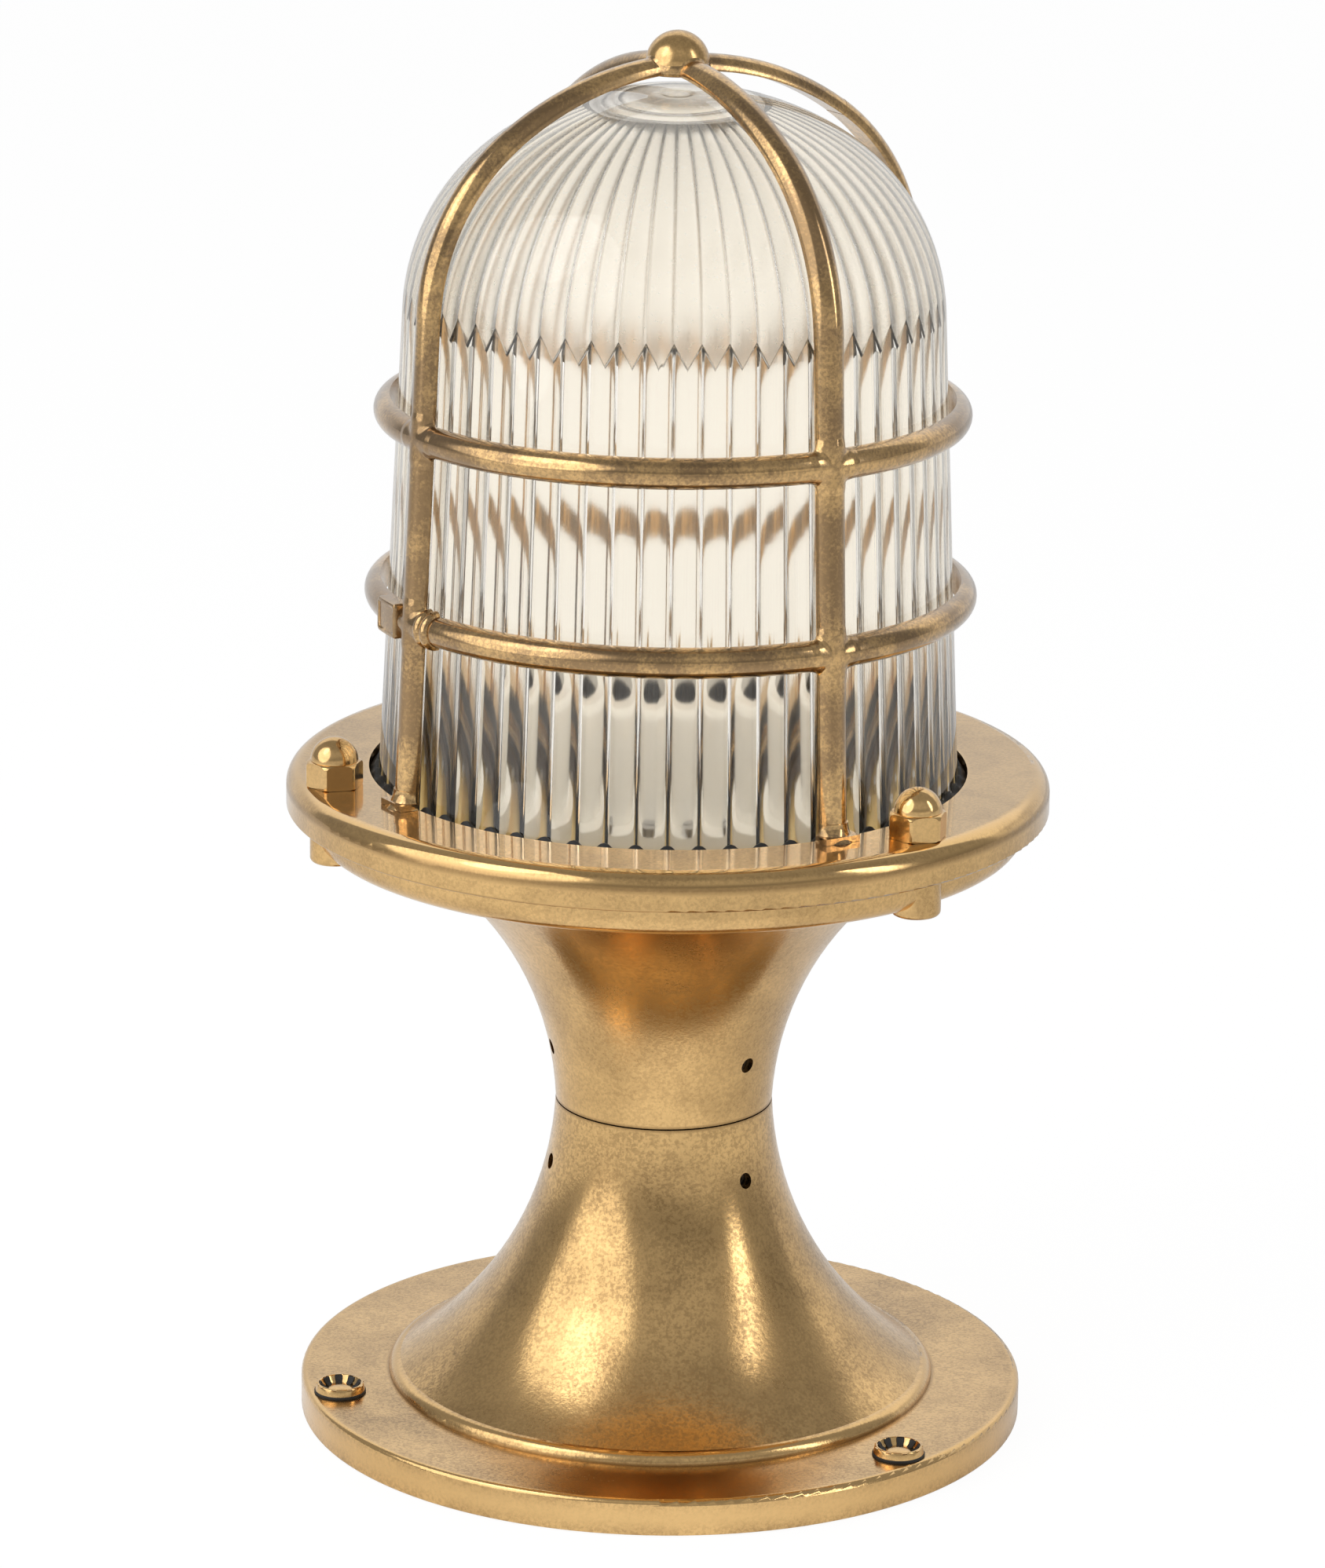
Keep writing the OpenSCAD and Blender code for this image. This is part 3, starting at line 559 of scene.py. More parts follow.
def piece(name: str, mesh: bmesh.types.BMesh, finish: Finish, body: str,
          smooth_angle: float = 35.0, replaced: Sequence[str] = ()) -> bpy.types.Object:
    """Makes a finished piece.

    Args:
        name: the piece's name.
        mesh: its shape, freed here.
        finish: its finish.
        body: the body that it rides on.
        smooth_angle: edges sharper than this, in degrees, stay crisp.
        replaced: CAD nodes that it stands for.

    Returns:
        The object.
    """
    data = bpy.data.meshes.new(name)
    mesh.to_mesh(data)
    mesh.free()
    data.materials.append(finish.material())
    data.shade_smooth()
    data.set_sharp_from_angle(angle=math.radians(smooth_angle))
    made = bpy.data.objects.new(name, data)
    bpy.context.scene.collection.objects.link(made)
    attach(made, body)
    if replaced:
        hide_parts(*replaced)
    LOG.info("%s: %d faces, rides on %s", name, len(data.polygons), body)
    return made


def joined(mesh: bmesh.types.BMesh, part: bmesh.types.BMesh) -> None:
    """Adds a copy of one shape to another and frees the part."""
    data = bpy.data.meshes.new("part")
    part.to_mesh(data)
    part.free()
    mesh.from_mesh(data)
    bpy.data.meshes.remove(data)


def blended(mesh: bmesh.types.BMesh, voxel: float, passes: int) -> bmesh.types.BMesh:
    """Joins overlapping closed shapes into one skin with soft inner corners.

    Args:
        mesh: closed shapes that overlap, freed here.
        voxel: size of the skin's mesh in metres.
        passes: how often the skin is smoothed.

    Returns:
        The joined shape.
    """
    data = bpy.data.meshes.new("blend")
    mesh.to_mesh(data)
    mesh.free()
    rough = bpy.data.objects.new("blend", data)
    bpy.context.scene.collection.objects.link(rough)
    remesh = rough.modifiers.new("skin", "REMESH")
    remesh.mode, remesh.voxel_size, remesh.use_smooth_shade = "VOXEL", voxel, True
    smooth = rough.modifiers.new("soft", "SMOOTH")
    smooth.factor, smooth.iterations = 0.5, passes
    skin = bpy.data.meshes.new_from_object(rough.evaluated_get(bpy.context.evaluated_depsgraph_get()))
    made = bmesh.new()
    made.from_mesh(skin)
    bpy.data.objects.remove(rough)
    bpy.data.meshes.remove(data)
    bpy.data.meshes.remove(skin)
    return made


# Sizes shared with the frame, in millimetres

@dataclass(frozen=True)
class Stack:
    """Heights and radii of the lantern that several sub-assemblies share."""

    plate_r: float = 72.3
    plate_t: float = 7.3
    foot_r: float = 52.4
    foot_bead: float = 2.3
    seam_z: float = 64.6
    neck_r: float = 21.5
    flange_z: float = 119.2
    flange_top: float = 125.5
    flange_r: float = 70.5
    ring_r: float = 75.0
    ring_z: float = 125.8
    ring_top: float = 133.26
    ring_hole_r: float = 58.8
    stud_angles: tuple[float, ...] = (-165.0, -45.0, 75.0)
    rib_angles: tuple[float, ...] = (-148.0, -58.0, 32.0, 122.0)


STACK = Stack()
GLASS_NODES = ("glass_wall", "glass_dome")


@dataclass(frozen=True)
class Dome:
    """Half outline of a dome: leaning wall, shoulder arc and crown arc.

    Attributes:
        wall_r: radius at the wall's foot.
        wall_z: height of the wall's foot.
        bend_r: radius where the shoulder begins.
        bend_z: height where the shoulder begins.
        shoulder: radius of the shoulder's arc.
        top: height of the top.
        lean: draw of the wall in degrees.
    """

    wall_r: float
    wall_z: float
    bend_r: float
    bend_z: float
    shoulder: float
    top: float
    lean: float = math.degrees(math.atan(4.4 / 91.7))

    @property
    def shoulder_x(self) -> float:
        """Radius of the shoulder's centre."""
        return self.bend_r - self.shoulder * math.cos(math.radians(self.lean))

    @property
    def shoulder_z(self) -> float:
        """Height of the shoulder's centre."""
        return self.bend_z - self.shoulder * math.sin(math.radians(self.lean))

    @property
    def crown(self) -> float:
        """Radius of the crown's arc."""
        up = self.top - self.shoulder_z
        return (self.shoulder_x ** 2 + up * up - self.shoulder ** 2) / (2 * (up - self.shoulder))

    @property
    def crown_z(self) -> float:
        """Height of the crown's centre."""
        return self.top - self.crown

    @property
    def meet(self) -> float:
        """Angle in degrees where shoulder and crown meet."""
        return math.degrees(math.atan2(self.shoulder_z - self.crown_z, self.shoulder_x))

    def inside(self, wall: float) -> "Dome":
        """The same outline moved inward by a wall."""
        lean = math.radians(self.lean)
        return Dome(self.wall_r - wall / math.cos(lean), self.wall_z, self.bend_r - wall * math.cos(lean),
                    self.bend_z - wall * math.sin(lean), self.shoulder - wall, self.top - wall, self.lean)

    def radius(self, z: float) -> float:
        """Radius at a height.

        Args:
            z: height in millimetres.

        Returns:
            The outline's radius there.
        """
        if z <= self.bend_z:
            return self.bend_r + (self.bend_z - z) * math.tan(math.radians(self.lean))
        meet_z = self.shoulder_z + self.shoulder * math.sin(math.radians(self.meet))
        if z <= meet_z:
            return self.shoulder_x + math.sqrt(max(0.0, self.shoulder ** 2 - (z - self.shoulder_z) ** 2))
        return math.sqrt(max(0.0, self.crown ** 2 - (z - self.crown_z) ** 2))


GLASS_LEAN = 4.4 / 91.7
GLASS_SHAPE = Dome(56.8 + GLASS_LEAN * (STACK.ring_top - 124.1), 124.1, 52.4, 224.96, 42.5, 267.96)
FACE_SHAPE = Dome(58.3, STACK.ring_top, 53.9 - GLASS_LEAN * 3.5, 228.46, 40.4, 271.06)


@dataclass(frozen=True)
class Row:
    """One row of the glass's inside, round the axis.

    Attributes:
        spot: radius, height and inward direction (radius part, height part) of the plain surface.
        reed: height of the reeds there.
        inset: how far the whole row stands in.
        sway: how much of the zigzag it follows.
    """

    spot: tuple[float, float, float, float]
    reed: float = 0.0
    inset: float = 0.0
    sway: float = 0.0


@dataclass
class FlutedDome:
    """The pressed glass: smooth outside, sixty reeds inside that meet the dome's finer ones in a zigzag.

    Attributes:
        wall: thickness of the glass between the reeds.
        rim_r: radius of the rim.
        rim_top: height of the rim's upper side.
        reeds: number of reeds round the inside.
        spans: mesh spans for each reed.
        reed_h: height of a reed on the wall.
        crown_reed_h: height of a reed on the dome.
        junction_z: mean height of the zigzag.
        zigzag: height of the zigzag's teeth.
        step: how far the wall's reeds stand in from the dome's at the zigzag.
        disc_r: radius of the plain disc under the crown.
        seam_turn: angle of the mould line on the outside, in degrees.
        seam_h: height of the mould line.
    """

    wall: float = 3.5
    rim_r: float = 61.5
    rim_top: float = 128.6
    reeds: int = 60
    spans: int = 12
    reed_h: float = 1.0
    crown_reed_h: float = 0.6
    junction_z: float = 225.6
    zigzag: float = 4.6
    step: float = 0.45
    disc_r: float = 17.0
    seam_turn: float = -92.3
    seam_h: float = 0.3
    finish: Finish = PressedGlass("dome_glass")

    def _outside(self) -> list[tuple[float, float]]:
        """Half section of the outside, from the pole down to the rim's underside."""
        shape = GLASS_SHAPE
        crown = arc(0.0, shape.crown_z, shape.crown, 90.0, shape.meet, 10)[1:]
        shoulder = arc(shape.shoulder_x, shape.shoulder_z, shape.shoulder, shape.meet, shape.lean, 18)[1:]
        wall = [(shape.radius(z), z) for z in (205.0, 180.0, 155.0, self.rim_top + 1.0)]
        foot = shape.radius(self.rim_top)
        rim = [(foot + 0.25, self.rim_top + 0.25), (foot + 0.9, self.rim_top),
               *arc(self.rim_r - 0.5, self.rim_top - 0.5, 0.5, 90, 0, 2),
               *arc(self.rim_r - 0.5, shape.wall_z + 0.5, 0.5, 0, -90, 2)]
        return [(0.0, shape.top), *crown, *shoulder, *wall, *rim]

    def _spot(self, z: float) -> tuple[float, float, float, float]:
        """The plain inside at a height on the wall or shoulder."""
        inner = GLASS_SHAPE.inside(self.wall)
        if z <= inner.bend_z:
            a = math.radians(inner.lean)
        else:
            a = math.asin(min(1.0, (z - inner.shoulder_z) / inner.shoulder))
        return inner.radius(z), z, -math.cos(a), -math.sin(a)

    def _rows(self) -> list[Row]:
        """The inside from the foot to the pole."""
        inner = GLASS_SHAPE.inside(self.wall)
        mid = self.junction_z
        rows = [Row(self._spot(z), self.reed_h, self.step) for z in (124.1, 150.0, 175.0, 200.0, 212.0, 218.0)]
        rows += [Row(self._spot(mid - 4.2), self.reed_h, self.step, 0.4),
                 Row(self._spot(mid - 1.4), self.reed_h, self.step, 1.0),
                 Row(self._spot(mid - 0.22), self.reed_h, self.step, 1.0),
                 Row(self._spot(mid), self.reed_h * 0.85, self.step * 0.8, 1.0),
                 Row(self._spot(mid + 0.3), self.crown_reed_h, 0.0, 1.0),
                 Row(self._spot(mid + 1.6), self.crown_reed_h, 0.0, 1.0),
                 Row(self._spot(mid + 4.4), self.crown_reed_h, 0.0, 0.4)]
        first = math.degrees(math.asin((mid + 7.4 - inner.shoulder_z) / inner.shoulder))
        for i in range(12):
            a = math.radians(first + (inner.meet - first) * i / 12)
            spot = (inner.shoulder_x + inner.shoulder * math.cos(a), inner.shoulder_z + inner.shoulder * math.sin(a),
                    -math.cos(a), -math.sin(a))
            rows.append(Row(spot, self._crown_reed(spot[0])))
        edge = [17.4, 17.1, 16.8, 16.2, 15.2, 14.6, 14.1, 13.6, 13.0, 12.0, 11.4, 10.9, 10.4, 9.8, 7.5, 5.0, 3.4, 2.8,
                2.2, 1.0]
        widest = inner.crown * math.cos(math.radians(inner.meet))
        wide = [widest + (17.4 - widest) * i / 9 for i in range(9)]
        for r in wide + edge:
            a = math.acos(min(1.0, r / inner.crown))
            spot = (r, inner.crown_z + inner.crown * math.sin(a), -math.cos(a), -math.sin(a))
            rows.append(Row(spot, self._crown_reed(r), self._rings(r)))
        rows.append(Row((0.0, inner.top, 0.0, -1.0), 0.0, self._rings(0.0)))
        return rows

    def _crown_reed(self, r: float) -> float:
        """Height of the dome's reeds at a radius: lower as they close up, gone at the disc."""
        share = min(1.0, r / 46.0)
        fade = min(1.0, max(0.0, (r - self.disc_r) / 1.5))
        return self.crown_reed_h * share * fade

    def _rings(self, r: float) -> float:
        """How far the disc's rings and its middle stand in at a radius."""
        raised = min(1.0, max(0.0, (self.disc_r + 0.3 - r) / 0.9)) * 2.4
        for ring in (14.1, 10.9):
            raised += 0.4 * max(0.0, 1 - abs(r - ring) / 0.9)
        return raised + 0.6 * min(1.0, max(0.0, (3.4 - r) / 1.2))

    def _tooth(self, angle: float) -> float:
        """The zigzag's height at an angle, from -0.5 on a reed's crest to 0.5 in a groove."""
        return abs((angle * self.reeds / FULL_TURN) % 1.0 * 2 - 1) - 0.5

    def _reed(self, angle: float) -> float:
        """Height of a reed at an angle, from 0 in a groove to 1 on its crest."""
        across = (angle * self.reeds / FULL_TURN) % 1.0 * 2 - 1
        return (math.sqrt(1.12 - across * across) - math.sqrt(0.12)) / (math.sqrt(1.12) - math.sqrt(0.12))

    def _place(self, row: Row, angle: float) -> Vector:
        """Where a vertex of a row goes.

        Args:
            row: its row.
            angle: its angle round the axis.

        Returns:
            Its place in metres.
        """
        spot = row.spot
        if row.sway:
            spot = self._spot(spot[1] + row.sway * self.zigzag * self._tooth(angle))
        move = row.reed * self._reed(angle) + row.inset
        r = max(0.0, spot[0] + spot[2] * move)
        return Vector((r * math.cos(angle), r * math.sin(angle), spot[1] + spot[3] * move)) * MM

    def build(self) -> bpy.types.Object:
        """Makes the glass."""
        mesh = bmesh.new()
        rows = self._rows()
        inside = [row.spot[:2] for row in rows]
        turned(mesh, self._outside() + inside, self.reeds * self.spans)
        bmesh.ops.remove_doubles(mesh, verts=mesh.verts, dist=1e-7)
        known = {(round(r, 2), round(z, 2)): row for (r, z), row in zip(inside, rows)}
        seam = math.radians(self.seam_turn)
        seam_top = self.junction_z * MM
        inside_layer = mesh.verts.layers.float.new("inside")
        for vert in mesh.verts:
            r, z = math.hypot(vert.co.x, vert.co.y) / MM, vert.co.z / MM
            keys = ((round(r + i, 2), round(z + j, 2)) for i in (0, 0.004, -0.004) for j in (0, 0.004, -0.004))
            row = next((known[key] for key in keys if key in known), None)
            angle = math.atan2(vert.co.y, vert.co.x)
            if row is not None:
                vert.co = self._place(row, angle)
                vert[inside_layer] = 1.0
            elif self.rim_top * MM < vert.co.z < seam_top:
                for side in (seam, seam + math.pi):
                    apart = abs(math.remainder(angle - side, FULL_TURN))
                    grow = max(0.0, 1 - apart / math.radians(0.9)) * self.seam_h
                    vert.co.x += math.cos(angle) * grow * MM
                    vert.co.y += math.sin(angle) * grow * MM
        tidied(mesh)
        return piece("fluted_glass", mesh, self.finish, "glass", 40.0, GLASS_NODES)


# Guard

@dataclass
class GuardJoints:
    """Soft cast corners where the guard's bars cross.

    Attributes:
        width: width of a bar.
        depth: depth of a bar from its flat inner side.
        grow: how much larger the bars are made before they are smoothed.
        voxel: size of the skin's mesh.
        passes: how often the skin is smoothed.
        reach: how far a corner reaches along each bar.
        fade: length over which its ends sink into the bars.
        sink: how far they sink.
        hoop_heights: heights of the two hoops.
    """

    width: float = 6.0
    depth: float = 3.1
    grow: float = 0.2
    voxel: float = 0.3
    passes: int = 22
    reach: float = 8.0
    fade: float = 4.0
    sink: float = 0.45
    hoop_heights: tuple[float, float] = (204.96, 169.06)
    finish: Finish = AgedBrass("guard_brass")

    def _section(self) -> list[tuple[float, float]]:
        """A bar's section: out from the flat side, and across."""
        half = self.width / 2
        centre = self.depth - half
        flat = math.degrees(math.acos(min(1.0, centre / (half + self.grow))))
        return arc(centre, 0.0, half + self.grow, -(180 - flat), 180 - flat, 24)

    def _bar(self, mesh: bmesh.types.BMesh, origin: Vector, along: Vector, out: Vector,
             centre: Vector | None = None) -> None:
        """Adds a closed bar through a crossing, straight or round a centre.

        Args:
            mesh: the mesh to add to.
            origin: middle of the flat side at the crossing, in millimetres.
            along: the bar's direction there.
            out: direction from the flat side to the crest.
            centre: centre of the arc that it follows; None makes it straight.
        """
        side = along.cross(out)
        points = [origin + out * u + side * v for u, v in self._section()]
        if centre is None:
            points = [p - along * self.reach for p in points]
        else:
            axis = out.cross(along)
            half = self.reach / (origin - centre).length
            points = [centre + Matrix.Rotation(-half, 3, axis) @ (p - centre) for p in points]
        geometry = chain(mesh, [p * MM for p in points], True)
        edges = [g for g in geometry if isinstance(g, bmesh.types.BMEdge)]
        base = bmesh.ops.contextual_create(mesh, geom=edges)["faces"]
        if centre is None:
            grown = bmesh.ops.extrude_face_region(mesh, geom=base, use_keep_orig=True)["geom"]
            verts = [g for g in grown if isinstance(g, bmesh.types.BMVert)]
            bmesh.ops.translate(mesh, verts=verts, vec=along * 2 * self.reach * MM)
            return
        bmesh.ops.spin(mesh, geom=base, cent=centre * MM, axis=axis, dvec=(0, 0, 0), angle=2 * half, steps=8)
        mesh.verts.index_update()
        bmesh.ops.contextual_create(mesh, geom=[e for e in mesh.edges if e.is_boundary])

    def _crossings(self, z: float, name: str) -> bpy.types.Object:
        """Makes the four corners of one hoop.

        Args:
            z: the hoop's height.
            name: the piece's name.

        Returns:
            The piece.
        """
        mesh = bmesh.new()
        lean = math.radians(FACE_SHAPE.lean)
        axes = []
        for degrees in STACK.rib_angles:
            a = math.radians(degrees)
            out = Vector((math.cos(a), math.sin(a), 0.0))
            up = Vector((0, 0, 1)) * math.cos(lean) - out * math.sin(lean)
            normal = out * math.cos(lean) + Vector((0, 0, 1)) * math.sin(lean)
            side = Vector((0, 0, 1)).cross(out)
            origin = out * FACE_SHAPE.radius(z) + Vector((0, 0, z))
            for bar in ((up, normal, None), (side, out, Vector((0, 0, z)))):
                single = bmesh.new()
                self._bar(single, origin, *bar)
                tidied(single)
                joined(mesh, single)
            axes.append((origin, up, side, out))
        skin = blended(mesh, self.voxel * MM, self.passes)
        skin.normal_update()
        for vert in skin.verts:
            spot = vert.co / MM
            origin, up, side, out = min(axes, key=lambda cross: (spot - cross[0]).length)
            apart = spot - origin
            far = max(abs(apart.dot(up)), abs(apart.dot(side)))
            share = min(1.0, max(0.0, (far - self.reach + self.fade) / (self.fade - 0.5)))
            vert.co -= vert.normal * share * self.sink * MM
        return piece(name, skin, self.finish, "guard", 60.0)

    def build(self) -> list[bpy.types.Object]:
        """Makes the corners of both hoops."""
        return [self._crossings(self.hoop_heights[0], "upper_joint_fillets"),
                self._crossings(self.hoop_heights[1], "lower_joint_fillets")]


# Base

@dataclass
class FixingScrews:
    """Oval-head brass screws in raised cup washers with a notched inside, on the base plate, with black pieces that
    paint shade in the notches and under the cups.

    Attributes:
        circle: radius of the circle that they stand on.
        cup_r: radius of the cup's foot.
        cup_h: height of the cup's lip above the plate.
        lip_r: radius of the lip's crest.
        bowl_r: radius of the bowl's foot.
        notches: number of notches round the bowl.
        notch: how far a notch goes into the cup.
        tooth: share of the round that the black teeth fill, shade painted in the notches.
        head_r: radius of the screw's head.
        crown_h: height of the head's crown above the plate.
        shank_r: radius of the shank.
        turns: how far each screw is turned, in radians.
    """

    circle: float = 66.0
    cup_r: float = 5.0
    cup_h: float = 2.0
    lip_r: float = 4.35
    bowl_r: float = 3.2
    notches: int = 9
    notch: float = 0.75
    tooth: float = 0.56
    head_r: float = 2.5
    crown_h: float = 1.15
    shank_r: float = 2.3
    turns: tuple[float, ...] = (0.3, 0.75, 0.1)
    segments: int = 132
    finish: Finish = AgedBrass("screw_brass", tarnished=0.3, gloss_low=0.12, gloss_high=0.22)

    def _profile(self) -> list[tuple[float, float]]:
        """Half section of cup and screw, from the crown over the lip and down to the shank's end."""
        head = [(self.head_r * math.sin(a), self.crown_h - 0.5 + 0.5 * math.cos(a))
                for a in (math.pi / 2 * i / 7 for i in range(8))]
        lip = arc(self.lip_r, self.cup_h - 0.35, 0.35, 160, 10, 6)
        return [*head, (self.head_r, 0.55), (self.bowl_r, 0.5), (self.bowl_r + 0.1, 0.75), (3.75, 1.2), *lip,
                (4.8, 1.2), (self.cup_r - 0.05, 0.6), (self.cup_r, 0.0), (self.cup_r - 0.3, -0.25),
                (self.shank_r, -2.0), (self.shank_r, 0.4 - STACK.plate_t),
                (self.shank_r - 0.3, 0.1 - STACK.plate_t), (0.0, 0.1 - STACK.plate_t)]

    def _shade_washer(self, mesh: bmesh.types.BMesh) -> None:
        """Adds the black washer that paints shade: teeth on the bowl's slope in the notches, each a closed block, and
        a ring under the cup for the shadow gap.
        """
        high = self.cup_h - 0.12
        section = metres([(self.head_r + 0.05, 0.52), (self.bowl_r, 0.52), (4.2, 0.52), (4.2, high - 0.25),
                          (4.1, high), (3.9, high - 0.1), (3.4, 1.0)])
        pitch = FULL_TURN / self.notches
        for i in range(self.notches):
            turn = Matrix.Rotation((i - self.tooth / 2) * pitch, 3, "Z")
            geometry = chain(mesh, [turn @ point for point in section], True)
            edges = [g for g in geometry if isinstance(g, bmesh.types.BMEdge)]
            base = bmesh.ops.contextual_create(mesh, geom=edges)["faces"]
            bmesh.ops.spin(mesh, geom=base, cent=(0, 0, 0), axis=(0, 0, 1), dvec=(0, 0, 0),
                           angle=self.tooth * pitch, steps=4)
        mesh.verts.index_update()
        bmesh.ops.contextual_create(mesh, geom=[e for e in mesh.edges if e.is_boundary])
        foot = self.cup_r + 0.15
        turned(mesh, [(foot, 0.02), (foot, 0.4), (foot - 0.12, 0.52), (self.cup_r - 0.4, 0.52), (self.cup_r - 0.4, 0.02)],
               64, closed=True)

    def _notched(self, spot: Vector) -> Vector:
        """Where a point of the bowl's slope goes: into a notch, or left as it is."""
        r, z = math.hypot(spot.x, spot.y) / MM, spot.z / MM
        if not (self.bowl_r - 0.05 < r < self.lip_r - 0.05 and 0.6 < z < self.cup_h - 0.05):
            return spot
        wave = math.cos(self.notches * math.atan2(spot.y, spot.x))
        share = min(1.0, max(0.0, (wave - 0.1) / 0.35))
        return Vector((spot.x * (1 + share * self.notch / r), spot.y * (1 + share * self.notch / r), spot.z))

    def _stood(self, mesh: bmesh.types.BMesh, index: int, verts: list[bmesh.types.BMVert]) -> None:
        """Moves one screw's vertices from the origin to its hole."""
        a = math.radians(STACK.stud_angles[index])
        stand = Vector((math.cos(a) * self.circle, math.sin(a) * self.circle, STACK.plate_t)) * MM
        turn = Matrix.Rotation(self.turns[index], 4, "Z")
        bmesh.ops.transform(mesh, matrix=Matrix.Translation(stand) @ turn, verts=verts)

    def build(self) -> tuple[bpy.types.Object, bpy.types.Object]:
        """Makes the three screws and the black washers that paint shade in their notches and under their cups."""
        screws, washers = bmesh.new(), bmesh.new()
        for index in range(len(STACK.stud_angles)):
            before = set(screws.verts)
            turned(screws, self._profile(), self.segments)
            fresh = [v for v in screws.verts if v not in before]
            for vert in fresh:
                vert.co = self._notched(vert.co)
            self._stood(screws, index, fresh)
            single = bmesh.new()
            self._shade_washer(single)
            tidied(single)
            self._stood(single, index, list(single.verts))
            joined(washers, single)
        tidied(screws)
        return (piece("fixing_screws", screws, self.finish, "base", 30.0),
                piece("screw_shade_washers", washers, RUBBER, "base", 30.0))


# Foot of the glass and of the ribs

@dataclass
class GasketLip:
    """Black lip of the upper gasket, pressed up round the glass in sixty small scallops.

    Attributes:
        inner_r: radius of its inner side at the ring's top.
        outer_r: radius of its outer side.
        low_z: height of its underside.
        high_z: height of the dips between the scallops.
        scallop: height of a scallop.
        scallops: number of scallops.
        spans: mesh spans for each.
    """

    inner_r: float = 56.75
    outer_r: float = 58.6
    low_z: float = 128.8
    high_z: float = 132.3
    scallop: float = 1.4
    scallops: int = 60
    spans: int = 8

    def build(self) -> bpy.types.Object:
        """Makes the lip."""
        mesh = bmesh.new()
        lean = GLASS_LEAN * (STACK.ring_top - self.low_z)
        middle = (self.inner_r + self.outer_r) / 2 - 0.3
        section = [(self.inner_r + lean, self.low_z), (self.outer_r, self.low_z), (self.outer_r, self.high_z - 0.6),
                   (middle + 0.5, self.high_z - 0.1), (middle, self.high_z), (self.inner_r + 0.1, self.high_z - 0.1),
                   (self.inner_r, self.high_z - 0.5)]
        turned(mesh, section, self.scallops * self.spans, closed=True)
        for vert in mesh.verts:
            r, z = math.hypot(vert.co.x, vert.co.y) / MM, vert.co.z / MM
            if z > self.high_z - 0.3:
                wave = abs(math.cos(self.scallops / 2 * math.atan2(vert.co.y, vert.co.x)))
                rise = max(0.0, (wave - 0.5) / 0.5) ** 1.2 * self.scallop
                vert.co.z += rise * (0.2 if r > middle + 0.2 else 1.0) * MM
        tidied(mesh)
        return piece("gasket_lip", mesh, RUBBER, "guard", 50.0)


@dataclass
class RibFeet:
    """Small flared feet that carry the ribs on the clamp ring.

    Attributes:
        inner_r: radius of a foot's flat inner side.
        depth: depth of a foot on the ring.
        width: width of a foot on the ring.
        top_depth: depth of the rib that it runs into.
        top_width: width of that rib.
        height: height of the flare.
        steps: rows of the flare.
    """

    inner_r: float = 58.95
    depth: float = 4.4
    width: float = 8.0
    top_depth: float = 2.5
    top_width: float = 6.1
    height: float = 3.4
    steps: int = 8

    def build(self, finish: Finish) -> bpy.types.Object:
        """Makes the four feet."""
        mesh = bmesh.new()
        for degrees in STACK.rib_angles:
            a = math.radians(degrees)
            out, side = Vector((math.cos(a), math.sin(a), 0.0)), Vector((-math.sin(a), math.cos(a), 0.0))
            loops = []
            for i in range(self.steps + 1):
                share = i / self.steps
                flare = (1 - share) ** 2.2
                depth = self.top_depth + (self.depth - self.top_depth) * flare
                half = (self.top_width + (self.width - self.top_width) * flare) / 2
                z = STACK.ring_top + 0.03 + self.height * (share if i else 0.0)
                curve = [(depth * math.cos(b), half * math.sin(b)) for b in
                         (math.radians(-90 + 180 * k / 16) for k in range(17))]
                points = [Vector((0, 0, z)) + out * (self.inner_r + u) + side * v for u, v in curve]
                geometry = chain(mesh, [p * MM for p in points], True)
                loops.append([g for g in geometry if isinstance(g, bmesh.types.BMEdge)])
            for first, second in zip(loops, loops[1:]):
                bmesh.ops.bridge_loops(mesh, edges=first + second)
            for end in (loops[0], loops[-1]):
                bmesh.ops.contextual_create(mesh, geom=end)
        tidied(mesh)
        return piece("rib_feet", mesh, finish, "guard", 50.0)


